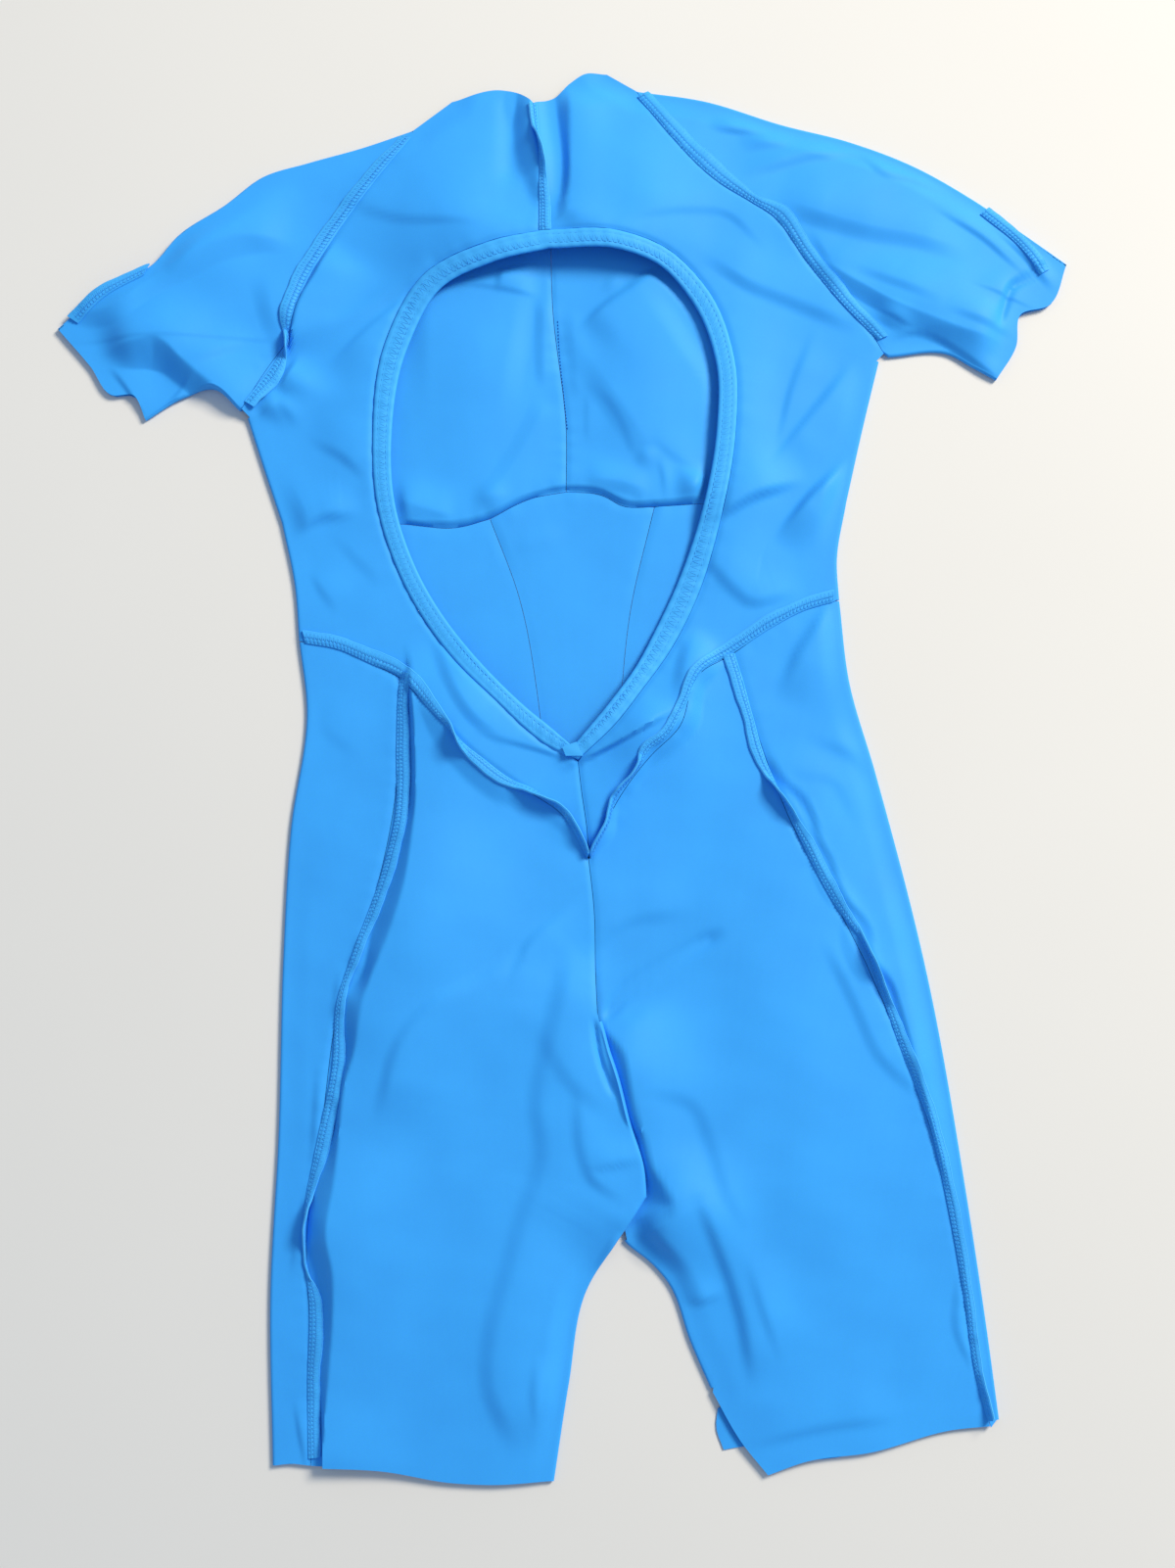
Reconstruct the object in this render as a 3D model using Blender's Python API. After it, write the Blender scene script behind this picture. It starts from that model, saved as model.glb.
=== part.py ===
"""A short one-piece gym suit with an open keyhole back, turned inside out and laid on its front.

The suit is a flattened tube of cloth. Its front panels lie on the floor and its back panels lie
on them; at the outer edges the cloth rolls over from one layer to the other. Every panel is a
wall of even thickness, worked out as a grid between four edge lines. The overlocked seam
allowances, which stand on the outside of an inside-out garment, are strips set on the seams.

Lengths are in millimetres until a mesh is made. X runs across the suit, Y runs towards the neck
and Z points up from the floor. The origin is the middle of the laid-out suit, on the floor.
"""

from math import cos, radians, sin

import bmesh
import bpy
import numpy as np

# ---------------------------------------------------------------------------------------------
# Driving sizes, in millimetres
# ---------------------------------------------------------------------------------------------
METRE = 1000.0
CLOTH = 1.2              # wall of one layer of cloth
SEAM_GAP = 0.34          # air between two panels at a seam
LAYER_STEP = 2.0         # from the middle of the front layer to the middle of the back layer
FLOOR_LAYER = CLOTH / 2  # height of the middle of the front layer
ROLL = 1.0               # sideways radius of the rolled outer edge, to the middle of the cloth
ROLL_INSET = ROLL + CLOTH / 2
ROLL_ANGLES = (60, 120, 180)
SIDE_RETURN = 18.0       # how far a back bodice comes round under the body
PANEL_RETURN = 44.0      # how far a leg side panel comes round under the leg
LEG_RETURN = 6.0         # how far a back leg comes round its inner edge
FLAP_REST = 5.6          # height of the lower cloth of the fold that lies over the right leg
EDGE_REACH = 16.0        # width beside a rolled edge where the back layer settles down
BINDING_WALL = 2.4       # thickness of the folded binding
ALLOWANCE = 6.6          # width of an overlocked seam allowance
ALLOWANCE_WALL = 1.4     # thickness of an overlocked seam allowance
LIE_GAP = 0.3            # air under what lies on a panel
BINDING_RAISE = 0.3      # the binding's middle above the middle of the back layer
FLAP_END = 292.0         # distance below the middle where the fold over the right leg comes down
FLAP_SLOPE = 20.0        # length over which it comes down

# Steps of the grids
RAGLAN_STEPS = 7
SIDE_STEPS = 4           # on each of the two stretches of a body side
CENTRE_STEPS = 2
HOLE_STEPS = 20
WAIST_STEPS = 3
ACROSS = 6
LEG_STEPS = 21
LEG_CENTRE_ROWS = 13     # rows of the front legs that meet at the centre seam
SLEEVE_STEPS = 8
BUST_INNER_STEPS = 2     # bust seam from the centre to the princess seam
BUST_OUTER_STEPS = 4     # and from there to the side
FRONT_WAIST_STEPS = 3
POINT_STEPS = 2          # front waist from the princess seam to the centre
STRIP_ROWS = 3           # rows of the strip of front leg that shows beside the right hem
ALLOWANCE_STEP = 13.0    # length of one step of an allowance
RUN_POINTS = 4           # points of a fold's run or a rolled edge for each one in its table
LINE_CHECKS = 3          # points checked on either side of each point of an allowance

# Shape of the body
BODICE_POINT = (1.3, 1.2)       # width and height of the cut end of a back bodice at its low point
RETURN_START = (0.35, 0.75)     # shares of the side return in its first rows, at the armpit
CHEST_MIDDLE = -4.0             # the front layer is raised only inside the keyhole:
CHEST_HALF_WIDTH = 100.0
CHEST_FADE_X = 16.0
CHEST_BOTTOM = 20.0
CHEST_TOP = 345.0
CHEST_FADE_Y = 30.0
FOLD_FADE = 0.2                 # share of a fold's run over which each end dies away

# Directions, and numbers of the calculation
SIGN = {"left": -1.0, "right": 1.0}
ACROSS_X = np.array((1.0, 0.0))
UP_Y = np.array((0.0, 1.0))
TOWARDS_MIDDLE = np.array((0.5, 1.0))
FACE_DOWN = (0.0, 0.0, -1.0)
TINY = 1e-9
FACET_MARGIN = 0.02             # share by which a facet counts beyond its edge

# ---------------------------------------------------------------------------------------------
# The lines of the pattern as they lie on the floor. Columns: x, y
# ---------------------------------------------------------------------------------------------
LINES = {
    # upper body, left
    "neck_left": ((-18, 384), (-26, 391), (-36, 393), (-66, 386)),
    "shoulder_left": ((-66, 386), (-88, 369)),
    "raglan_left": ((-88, 369), (-113, 336), (-135, 303), (-154, 270), (-161, 240),
                    (-169, 228), (-186, 199)),
    "side_upper_left": ((-183, 194), (-173, 164), (-162, 132)),
    "side_lower_left": ((-162, 132), (-154, 95), (-151, 63)),
    "arm_upper_left": ((-88, 369), (-119, 358), (-150, 349), (-177, 340), (-199, 322),
                       (-225, 304), (-241, 285), (-270, 271), (-295, 248)),
    "arm_lower_left": ((-187, 198), (-203, 211), (-221, 206), (-242, 193)),
    "cuff_left": ((-295, 248), (-275, 225), (-262, 208), (-250, 208), (-242, 193)),
    # upper body, right
    "neck_right": ((-17, 384), (-5, 388), (4, 397), (13, 403), (26, 403)),
    "shoulder_right": ((26, 403), (43, 393)),
    "raglan_right": ((43, 393), (61, 367), (92, 335), (124, 315), (146, 284), (175, 253),
                     (187, 233)),
    "side_upper_right": ((184, 228), (174, 188), (164, 145)),
    "side_lower_right": ((164, 145), (158, 110), (159, 87)),
    "arm_upper_right": ((43, 393), (83, 387), (130, 372), (168, 362), (206, 347),
                        (240, 327), (268, 307), (295, 287)),
    "arm_lower_right": ((189, 231), (226, 232), (238, 225), (252, 217)),
    "cuff_right": ((295, 287), (284, 262), (267, 256), (264, 237), (252, 217)),
    # centre back and keyhole
    "centre_neck": ((-17, 384), (-15, 363), (-12, 340), (-12, 311)),
    "hole_left": ((-8, 296), (-41, 287), (-70, 273), (-90, 236), (-99, 182), (-97, 145),
                  (-84, 105), (-52, 55), (-20, 22), (0, 3)),
    "hole_right": ((-8, 296), (34, 295), (57, 286), (74, 266), (89, 225), (89, 188),
                   (80, 138), (65, 98), (37, 51), (17, 27), (0, 3)),
    "bound_left": ((-12, 307), (-43, 299), (-82, 280), (-103, 240), (-110, 182), (-107, 142),
                   (-93, 100), (-60, 50), (-28, 20), (3, -5)),
    "bound_right": ((-12, 307), (34, 306), (63, 295), (84, 272), (100, 226), (100, 186),
                    (91, 134), (75, 88), (46, 40), (26, 15), (3, -5)),
    "centre_low": ((3, -6), (10, -24), (14, -45), (15, -58.5)),
    # waist seam and legs
    "waist_outer_left": ((-151, 63), (-130, 59), (-109, 50), (-93, 42)),
    "waist_inner_left": ((-93, 42), (-74, 22), (-50, -2), (-22, -22), (0, -37), (11, -52),
                         (15, -62)),
    "waist_outer_right": ((159, 87), (138, 81), (121, 72), (98, 56)),
    "waist_inner_right": ((98, 56), (77, 42), (66, 12), (50, -4), (32, -28), (21, -50),
                          (15, -62)),
    "leg_side_left": ((-151, 63), (-146, 24), (-154, -45), (-157, -116), (-158, -217),
                      (-161, -302), (-158, -394)),
    "leg_side_right": ((159, 87), (164, 40), (178, -12), (206, -130), (225, -249),
                       (235, -325), (240, -368)),
    "panel_left": ((-93, 42), (-94, -20), (-106, -85), (-126, -150), (-134, -217),
                   (-141, -270), (-138, -330), (-137, -394)),
    "panel_right": ((98, 56), (108, 20), (127, -35), (159, -97), (186, -157), (205, -211),
                    (220, -286), (226, -334), (235, -373)),
    "centre_seat": ((15, -62), (18, -90), (19, -130), (20, -150)),
    "flap_edge": ((21, -153), (32, -184), (38, -208), (46, -235), (47, -249)),
    "flap_turn": ((47, -249), (40, -260), (31, -273)),
    "inner_leg_left": ((31, -273), (14, -300), (4, -351), (-4, -402)),
    "under_flap": ((20, -150), (24, -185), (28, -225), (35, -268)),
    "inner_leg_right": ((36, -273), (60, -298), (71, -328), (82, -353)),
    "turned_hem_right": ((82, -353), (99, -382), (113, -399)),
    "hem_side_left": ((-137, -394), (-148, -393), (-158, -394)),
    "hem_left": ((-137, -394), (-100, -396), (-60, -403), (-39, -404), (-4, -402)),
    "hem_side_right": ((235, -374), (240, -368)),
    "hem_right": ((235, -373), (215, -375), (169, -387), (133, -392), (113, -399)),
    # front, seen through the keyhole
    "front_neck_left": ((-7, 346), (-45, 356), (-88, 369)),
    "front_neck_right": ((-7, 346), (20, 362), (43, 393)),
    "front_centre": ((-7, 346), (-6, 260), (2, 186), (2, 151)),
    "underbust_inner_left": ((2, 151), (-18, 147), (-42, 135)),
    "underbust_outer_left": ((-42, 135), (-60, 130), (-93, 132), (-141, 134)),
    "underbust_inner_right": ((2, 151), (22, 149), (36, 142), (53, 142)),
    "underbust_outer_right": ((53, 142), (82, 144), (143, 146)),
    "princess_left": ((-42, 135), (-25, 89), (-14, 30), (-8, -37)),
    "princess_right": ((53, 142), (39, 81), (33, 20), (31, -34)),
    "front_point_left": ((-8, -37), (15, -62)),
    "front_point_right": ((31, -34), (15, -62)),
    "front_waist_left": ((-8, -37), (-30, -10), (-70, 35), (-105, 63)),
    "front_waist_right": ((31, -34), (45, -5), (70, 36), (113, 87)),
    "front_centre_leg": ((15, -62), (20, -150), (25, -225), (27, -258)),
    "front_strip_right": ((86, -364), (85, -374), (89, -386)),
    "front_hem_right": ((89, -386), (102, -384), (133, -391), (191, -381)),
    "front_hem_left": ((2, -402), (-50, -402), (-114, -394)),
}

# Edges where the cloth rolls over from the back to the front
ROLLED_LINES = ("side_upper_left", "side_lower_left", "side_upper_right", "side_lower_right",
                "leg_side_left", "leg_side_right", "arm_upper_left", "arm_lower_left",
                "arm_upper_right", "arm_lower_right", "inner_leg_left", "inner_leg_right",
                "shoulder_left", "shoulder_right")

# Broad rises of the cloth. Columns: x, y, reach along x, reach along y, height
BACK_RISES = (
    (-58, 318, 42, 46, 9),      # yoke, left of the centre seam
    (38, 326, 46, 52, 11),      # yoke, right of the centre seam
    (-12, 298, 60, 20, 7),      # top of the keyhole
    (98, 190, 26, 70, 6),       # right rim of the keyhole
    (-108, 190, 26, 70, 3),     # left rim of the keyhole
    (-50, 30, 40, 34, 4),       # strip under the keyhole, left
    (48, 18, 38, 34, 5),        # strip under the keyhole, right
    (-62, -170, 60, 130, 6),    # left leg
    (128, -190, 50, 130, 6),    # right leg
    (-20, -320, 46, 60, 4),
    (-205, 285, 44, 34, 5),     # left sleeve
    (150, 330, 70, 30, 5),      # right sleeve
    (225, 270, 36, 30, 5),
)
FRONT_RISES = (
    (-52, 205, 34, 60, 3),      # front chest, left of its centre seam
    (48, 200, 34, 60, 4),       # front chest, right of its centre seam
)

# Folds. Columns: the run of the fold, height, reach left of the run, reach right of the run
BACK_FOLDS = (
    (((-30, 386), (-31, 360), (-30, 330)), -9, 9, 7),           # valley left of the centre seam
    (((3, 384), (2, 350), (-2, 318)), -11, 8, 5),               # valley right of it
    (((-14, 378), (-12, 345), (-12, 320)), 3, 6, 6),            # ridge of the centre seam
    (((-86, 36), (-83, -30), (-91, -90), (-112, -150), (-124, -215), (-127, -270),
      (-124, -330), (-129, -390)), 4, 46, 7),                   # crest beside the left panel seam
    (((-236, 240), (-211, 221), (-187, 201)), 5, 26, 3),        # underarm fold, left sleeve
    (((172, 268), (205, 250), (236, 232), (254, 220)), 6, 30, 4),   # underarm fold, right sleeve
    (((-20, -240), (-44, -290), (-42, -350)), -3, 14, 14),      # trough inside the left thigh
    (((95, -95), (60, -120), (34, -150)), -4, 14, 10),          # trough from the crotch
    (((76, -245), (98, -290), (104, -340)), -3, 14, 14),        # trough inside the right thigh
)
FLAP_FOLDS = (
    (((16, -112), (23, -156), (34, -190), (44, -228), (45, -249), (34, -272), (20, -296)), 5.6, 6, 44),
)
FRONT_FOLDS = (
    (((-92, 276), (-45, 272), (-8, 268)), 3, 5, 30),            # fold over the upper chest, left
    (((4, 248), (28, 262), (66, 284)), 4, 5, 34),               # fold over the upper chest, right
    (((-90, 138), (-30, 146), (2, 156), (40, 148), (86, 149)), 3, 26, 5),   # fullness at the bust seam
)

# Overlocked seam allowances. Columns: x, y of the needle line, then x, y of the free edge
ALLOWANCES = {
    "allowance_centre_back": (
        (-17, 381, -21, 381), (-15, 366, -19, 366), (-13, 355, -13, 356), (-13, 335, -10, 335),
        (-13, 311, -8, 311)),
    "allowance_raglan_left": (
        (-90, 364, -95, 365), (-113, 334, -120, 336), (-136, 301, -144, 302),
        (-151, 274, -158, 277), (-158, 251, -164, 253), (-160, 240, -161, 240),
        (-166, 229, -162, 224), (-184, 203, -179, 200)),
    "allowance_raglan_right": (
        (44, 389, 50, 392), (62, 365, 67, 371), (92, 334, 98, 340), (110, 323, 112, 327),
        (124, 314, 129, 320), (141, 291, 147, 294), (158, 268, 163, 273), (184, 241, 189, 243)),
    "allowance_waist_left": (
        (-147, 62, -149, 69), (-130, 59, -132, 66), (-109, 50, -107, 57), (-93, 43, -89, 48),
        (-76, 24, -74, 31), (-67, 15, -64, 15), (-54, 1, -55, 1), (-46, -5, -48, -10),
        (-28, -18, -30, -21), (-18, -22, -18, -23), (0, -36, 1, -34), (10, -51, 13, -48)),
    "allowance_waist_right": (
        (155, 86, 156, 93), (138, 81, 138, 87), (121, 72, 120, 79), (98, 57, 93, 61),
        (80, 46, 75, 48), (70, 26, 65, 26), (60, 8, 57, 11), (49, -1, 44, 0),
        (45, -9, 46, -8), (30, -29, 26, -29), (25, -44, 23, -44), (20, -53, 19, -52)),
    "allowance_side_left": (
        (-93, 34, -88, 33), (-94, 0, -87, 0), (-94, -36, -88, -36), (-103, -75, -97, -75),
        (-116, -112, -112, -113), (-125, -140, -121, -138), (-128, -180, -122, -180),
        (-137, -226, -131, -228), (-142, -256, -140, -256), (-142, -280, -142, -284),
        (-139, -305, -133, -305), (-139, -350, -133, -350), (-138, -390, -132, -389)),
    "allowance_side_right": (
        (102, 43, 96, 42), (108, 20, 103, 20), (115, -5, 110, -6), (124, -26, 124, -26),
        (135, -51, 139, -48), (154, -88, 157, -83), (169, -109, 169, -106),
        (176, -128, 178, -127), (190, -169, 195, -168), (204, -206, 208, -204),
        (215, -257, 220, -257), (223, -308, 227, -308), (227, -340, 230, -338),
        (234, -370, 236, -369)),
    "allowance_overarm_left": (
        (-244, 279, -241, 285), (-268, 265, -270, 271), (-283, 251, -289, 255)),
    "allowance_overarm_right": (
        (245, 317, 250, 321), (264, 300, 269, 303), (279, 280, 284, 283)),
}

# Lines that make up the inner edge of a back leg, with their steps, and its rolled rows
INNER_LEG_LINES = {
    "left": (("centre_seat", 5), ("flap_edge", 5), ("flap_turn", 3), ("inner_leg_left", 8)),
    "right": (("centre_seat", 5), ("under_flap", 8), ("inner_leg_right", 5),
              ("turned_hem_right", 3)),
}
INNER_LEG_ROLL = {"left": (5, 21), "right": (13, 18)}

SUIT_BLUE = (0.048, 0.376, 0.93)
THREAD_BLUE = (0.065, 0.42, 0.95)
CLOTH_ROUGHNESS = 0.6
SHARP_ANGLE = 50.0       # degrees


# ---------------------------------------------------------------------------------------------
# Lines and patches
# ---------------------------------------------------------------------------------------------
def smooth(points, count):
    """Evenly spaced points along a soft curve through the given points."""
    points = np.asarray(points, dtype=float)
    steps = np.linalg.norm(np.diff(points, axis=0), axis=1)
    at = np.concatenate([[0.0], np.cumsum(steps)])
    slopes = np.gradient(points, at, axis=0)
    fine = np.linspace(0.0, at[-1], 16 * len(points))
    span = np.clip(np.searchsorted(at, fine, side="right") - 1, 0, len(points) - 2)
    width = (at[span + 1] - at[span])[:, None]
    t = (fine - at[span])[:, None] / width
    curve = ((2 * t**3 - 3 * t**2 + 1) * points[span] + (t**3 - 2 * t**2 + t) * width * slopes[span]
             + (3 * t**2 - 2 * t**3) * points[span + 1] + (t**3 - t**2) * width * slopes[span + 1])
    run = np.concatenate([[0.0], np.cumsum(np.linalg.norm(np.diff(curve, axis=0), axis=1))])
    even = np.linspace(0.0, run[-1], count)
    return np.stack([np.interp(even, run, curve[:, k]) for k in range(curve.shape[1])], axis=1)


def path(*legs):
    """Points of several lines in a row. Each leg is a name and its count of steps."""
    parts = []
    for name, steps in legs:
        parts.append(smooth(LINES[name], steps + 1)[:-1])
    parts.append(np.asarray(LINES[legs[-1][0]][-1:], dtype=float))
    return np.concatenate(parts)


def outward(edge, inside):
    """Unit directions square to an edge line, pointing away from the points inside."""
    along = np.gradient(edge, axis=0)
    square = np.stack([along[:, 1], -along[:, 0]], axis=1)
    square /= np.maximum(np.linalg.norm(square, axis=1), TINY)[:, None]
    side = np.sign(np.sum(square * (edge - inside), axis=1))
    return square * (1.0 if side.sum() >= 0 else -1.0)


def inset(edge, inside, distance=SEAM_GAP / 2):
    """The edge line moved towards the points inside, by half a seam gap unless told otherwise."""
    return edge - outward(edge, inside) * distance


def corner(first, second):
    """The crossing of two edge lines, each given by its end point and the point before it."""
    along = first[0] - first[1]
    other = second[0] - second[1]
    apart = second[0] - first[0]
    share = (apart[0] * other[1] - apart[1] * other[0]) / (along[0] * other[1] - along[1] * other[0])
    return first[0] + along * share


def patch(left, right, top, bottom):
    """Grid of plan points between four edge lines, which are cut or lengthened to their corners."""
    left, right, top, bottom = (np.array(line) for line in (left, right, top, bottom))
    left[0] = top[0] = corner(left[:2], top[:2])
    left[-1] = bottom[0] = corner(left[:-3:-1], bottom[:2])
    right[0] = top[-1] = corner(right[:2], top[:-3:-1])
    right[-1] = bottom[-1] = corner(right[:-3:-1], bottom[:-3:-1])
    v = np.linspace(0, 1, len(left))[:, None, None]
    u = np.linspace(0, 1, len(top))[None, :, None]
    across = (1 - u) * left[:, None] + u * right[:, None]
    down = (1 - v) * top[None] + v * bottom[None]
    corners = ((1 - u) * (1 - v) * left[0] + u * (1 - v) * right[0]
               + (1 - u) * v * left[-1] + u * v * right[-1])
    return across + down - corners


def towards(start, end):
    """Unit direction from one point to another."""
    return (end - start) / np.linalg.norm(end - start)


# ---------------------------------------------------------------------------------------------
# Heights of the two layers
# ---------------------------------------------------------------------------------------------
def ease(value):
    """Smooth step from 0 to 1."""
    value = np.clip(value, 0, 1)
    return value * value * (3 - 2 * value)


def nearest(x, y, run):
    """Distance to a run of points, its side (+1 is left) and the share of the run passed."""
    best = np.full(x.shape, np.inf)
    side = np.ones(x.shape)
    share = np.zeros(x.shape)
    pieces = len(run) - 1
    for k in range(pieces):
        start = run[k]
        step = run[k + 1] - start
        along = ((x - start[0]) * step[0] + (y - start[1]) * step[1]) / max(step @ step, TINY)
        t = np.clip(along, 0, 1)
        dx = x - (start[0] + t * step[0])
        dy = y - (start[1] + t * step[1])
        distance = np.hypot(dx, dy)
        closer = distance < best
        best = np.where(closer, distance, best)
        side = np.where(closer, np.where(step[0] * dy - step[1] * dx >= 0, 1.0, -1.0), side)
        share = np.where(closer, (k + t) / pieces, share)
    return best, side, share


def fold_height(x, y, folds):
    """Sum of the folds at each plan point."""
    total = np.zeros(x.shape)
    for run, height, reach_left, reach_right in folds:
        distance, side, share = nearest(x, y, smooth(run, RUN_POINTS * len(run)))
        reach = np.where(side > 0, reach_left, reach_right)
        ends = ease(np.minimum(share, 1 - share) / FOLD_FADE)
        total += height * ends * np.exp(-(distance / reach) ** 2)
    return total


def rise_height(x, y, rises):
    """Sum of the broad rises at each plan point."""
    total = np.zeros(x.shape)
    for cx, cy, reach_x, reach_y, height in rises:
        total += height * np.exp(-((x - cx) / reach_x) ** 2 - ((y - cy) / reach_y) ** 2)
    return total


def edge_settle(x, y):
    """0 on a rolled edge of the suit, 1 well inside it."""
    best = np.full(x.shape, np.inf)
    for name in ROLLED_LINES:
        best = np.minimum(best, nearest(x, y, smooth(LINES[name], RUN_POINTS * len(LINES[name])))[0])
    return ease((best - ROLL_INSET) / EDGE_REACH)


def front_height(x, y):
    """Height of the middle of the front layer."""
    inside = (ease((CHEST_HALF_WIDTH - np.abs(x - CHEST_MIDDLE)) / CHEST_FADE_X)
              * ease((y - CHEST_BOTTOM) / CHEST_FADE_Y) * ease((CHEST_TOP - y) / CHEST_FADE_Y))
    lift = rise_height(x, y, FRONT_RISES) + fold_height(x, y, FRONT_FOLDS)
    return FLOOR_LAYER + inside * np.maximum(lift, 0)


def back_height(x, y, more_folds=()):
    """Height of the middle of the back layer, which lies on the front layer."""
    lift = rise_height(x, y, BACK_RISES) + fold_height(x, y, BACK_FOLDS)
    lift = np.maximum(lift, 0) * edge_settle(x, y)
    return front_height(x, y) + LAYER_STEP + lift + fold_height(x, y, more_folds)


# ---------------------------------------------------------------------------------------------
# Solids
# ---------------------------------------------------------------------------------------------
def material(name, colour):
    """A plain cloth or thread material."""
    made = bpy.data.materials.new(name)
    made.use_nodes = True
    shader = made.node_tree.nodes["Principled BSDF"]
    shader.inputs["Base Color"].default_value = (*colour, 1.0)
    shader.inputs["Roughness"].default_value = CLOTH_ROUGHNESS
    shader.inputs["Metallic"].default_value = 0.0
    return made


def make_object(name, points, faces, colour):
    """A mesh object in metres with its faces turned outwards."""
    mesh = bpy.data.meshes.new(name)
    mesh.from_pydata((np.asarray(points) / METRE).tolist(), [], faces)
    shape = bmesh.new()
    shape.from_mesh(mesh)
    loose = [vertex for vertex in shape.verts if not vertex.link_faces]
    bmesh.ops.delete(shape, geom=loose, context="VERTS")
    bmesh.ops.recalc_face_normals(shape, faces=shape.faces)
    shape.to_mesh(mesh)
    shape.free()
    mesh.shade_smooth()
    mesh.set_sharp_from_angle(angle=radians(SHARP_ANGLE))
    made = bpy.data.objects.new(name, mesh)
    made.data.materials.append(material(name + "_cloth", colour))
    bpy.context.scene.collection.objects.link(made)


def wall(name, middle, out, cells=None, round_rows=False, round_columns=False,
         thickness=CLOTH, colour=SUIT_BLUE):
    """A closed wall of even thickness about a grid of middle points.

    out holds the direction of the outer face at each point, and cells says which of the grid's
    quads are cloth. The rows or the columns may close into a ring.
    """
    rows, columns = middle.shape[:2]
    row_cells = rows if round_rows else rows - 1
    column_cells = columns if round_columns else columns - 1
    if cells is None:
        cells = np.ones((row_cells, column_cells), dtype=bool)
    count = rows * columns
    half = out * thickness / 2
    points = np.concatenate([(middle + half).reshape(-1, 3), (middle - half).reshape(-1, 3)])
    faces = []
    borders = {}
    for i in range(row_cells):
        for j in range(column_cells):
            if not cells[i, j]:
                continue
            a = i * columns + j
            b = i * columns + (j + 1) % columns
            c = ((i + 1) % rows) * columns + (j + 1) % columns
            d = ((i + 1) % rows) * columns + j
            for p, q, r in ((a, b, c), (a, c, d)):
                faces.append((p, q, r))
                faces.append((r + count, q + count, p + count))
            for p, q in ((a, b), (b, c), (c, d), (d, a)):
                borders[p, q] = borders.get((p, q), 0) + 1
    for p, q in borders:
        if (q, p) not in borders:
            faces.append((q, p, p + count))
            faces.append((q, p + count, q + count))
    make_object(name, points, faces, colour)


def lay(plan, height):
    """Middle points and upward directions of a patch lying at the given heights."""
    middle = np.concatenate([plan, height[..., None]], axis=-1)
    out = np.zeros_like(middle)
    out[..., 2] = 1.0
    return middle, out


def roll_over(edge, outwards, top, bottom, reach=None):
    """Columns that roll the cloth round its edge line and bring it back underneath.

    top and bottom are the heights of the middle of the cloth above and below the roll. reach
    holds, for each row, how far inside the edge line the cloth ends underneath.
    """
    middles = []
    outs = []
    centre = (top + bottom) / 2
    radius = (top - bottom) / 2
    for angle in ROLL_ANGLES:
        turn = radians(angle)
        plan = edge + outwards * ROLL * sin(turn)
        middles.append(np.column_stack([plan, centre + radius * cos(turn)]))
        outs.append(np.column_stack([outwards * sin(turn), np.full(len(edge), cos(turn))]))
    if reach is not None:
        middles.append(np.column_stack([edge - outwards * reach[:, None], bottom]))
        outs.append(np.tile(FACE_DOWN, (len(edge), 1)))
    return np.stack(middles, axis=1), np.stack(outs, axis=1)


def facet_height(panels, points):
    """Height of the highest facet of the given grids over each plan point."""
    best = np.full(len(points), -np.inf)
    for grid in panels:
        a, b, c, d = grid[:-1, :-1], grid[:-1, 1:], grid[1:, 1:], grid[1:, :-1]
        corners = [np.concatenate([p.reshape(-1, 3), q.reshape(-1, 3)])
                   for p, q in ((a, a), (b, c), (c, d))]
        first = corners[1] - corners[0]
        second = corners[2] - corners[0]
        area = first[:, 0] * second[:, 1] - first[:, 1] * second[:, 0]
        area = np.where(np.abs(area) < TINY, TINY, area)
        offset = points[:, None, :] - corners[0][None, :, :2]
        s = (offset[..., 0] * second[:, 1] - offset[..., 1] * second[:, 0]) / area
        t = (first[:, 0] * offset[..., 1] - first[:, 1] * offset[..., 0]) / area
        inside = (s >= -FACET_MARGIN) & (t >= -FACET_MARGIN) & (s + t <= 1 + FACET_MARGIN)
        z = corners[0][:, 2] + s * first[:, 2] + t * second[:, 2]
        best = np.maximum(best, np.where(inside, z, -np.inf).max(axis=1))
    return best


def highest(panels, line):
    """Highest facet under each point of a line and half a step to either side of it."""
    count = 2 * LINE_CHECKS * (len(line) - 1) + 1
    at = np.linspace(0, len(line) - 1, count)
    fine = np.stack([np.interp(at, np.arange(len(line)), line[:, k]) for k in (0, 1)], axis=1)
    heights = facet_height(panels, fine)
    near = [heights[max(0, 2 * LINE_CHECKS * k - LINE_CHECKS):2 * LINE_CHECKS * k + LINE_CHECKS + 1]
            for k in range(len(line))]
    return np.array([part.max() for part in near])


def allowance(name, rows, panels):
    """An overlocked allowance: a strip from its needle line to its free edge.

    The strip keeps its width, so where its free edge lies close to the needle line it stands.
    """
    table = np.asarray(rows, dtype=float)
    length = np.linalg.norm(np.diff(table[:, :2], axis=0), axis=1).sum()
    table = smooth(table, max(6, int(length / ALLOWANCE_STEP) + 1))
    base = table[:, :2]
    free = table[:, 2:]
    apart = np.linalg.norm(free - base, axis=1)
    stand = np.sqrt(np.maximum(ALLOWANCE**2 - apart**2, 0))
    lying = np.minimum(apart / ALLOWANCE, 1)
    rest = CLOTH / 2 + LIE_GAP + ALLOWANCE_WALL / 2
    middle_z = highest(panels, (base + free) / 2)
    base_z = np.maximum(highest(panels, base), middle_z - stand / 2) + rest
    free_z = highest(panels, free) + rest
    free_z = np.maximum(free_z, base_z + stand - lying * LIE_GAP)
    low = np.column_stack([base, base_z])
    high = np.column_stack([free, free_z])
    square = np.cross(np.gradient(low, axis=0), high - low)
    square /= np.linalg.norm(square, axis=1)[:, None]
    middle = np.stack([low, high], axis=1)
    out = np.stack([square, square], axis=1)
    wall(name, middle, out, thickness=ALLOWANCE_WALL, colour=THREAD_BLUE)


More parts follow.
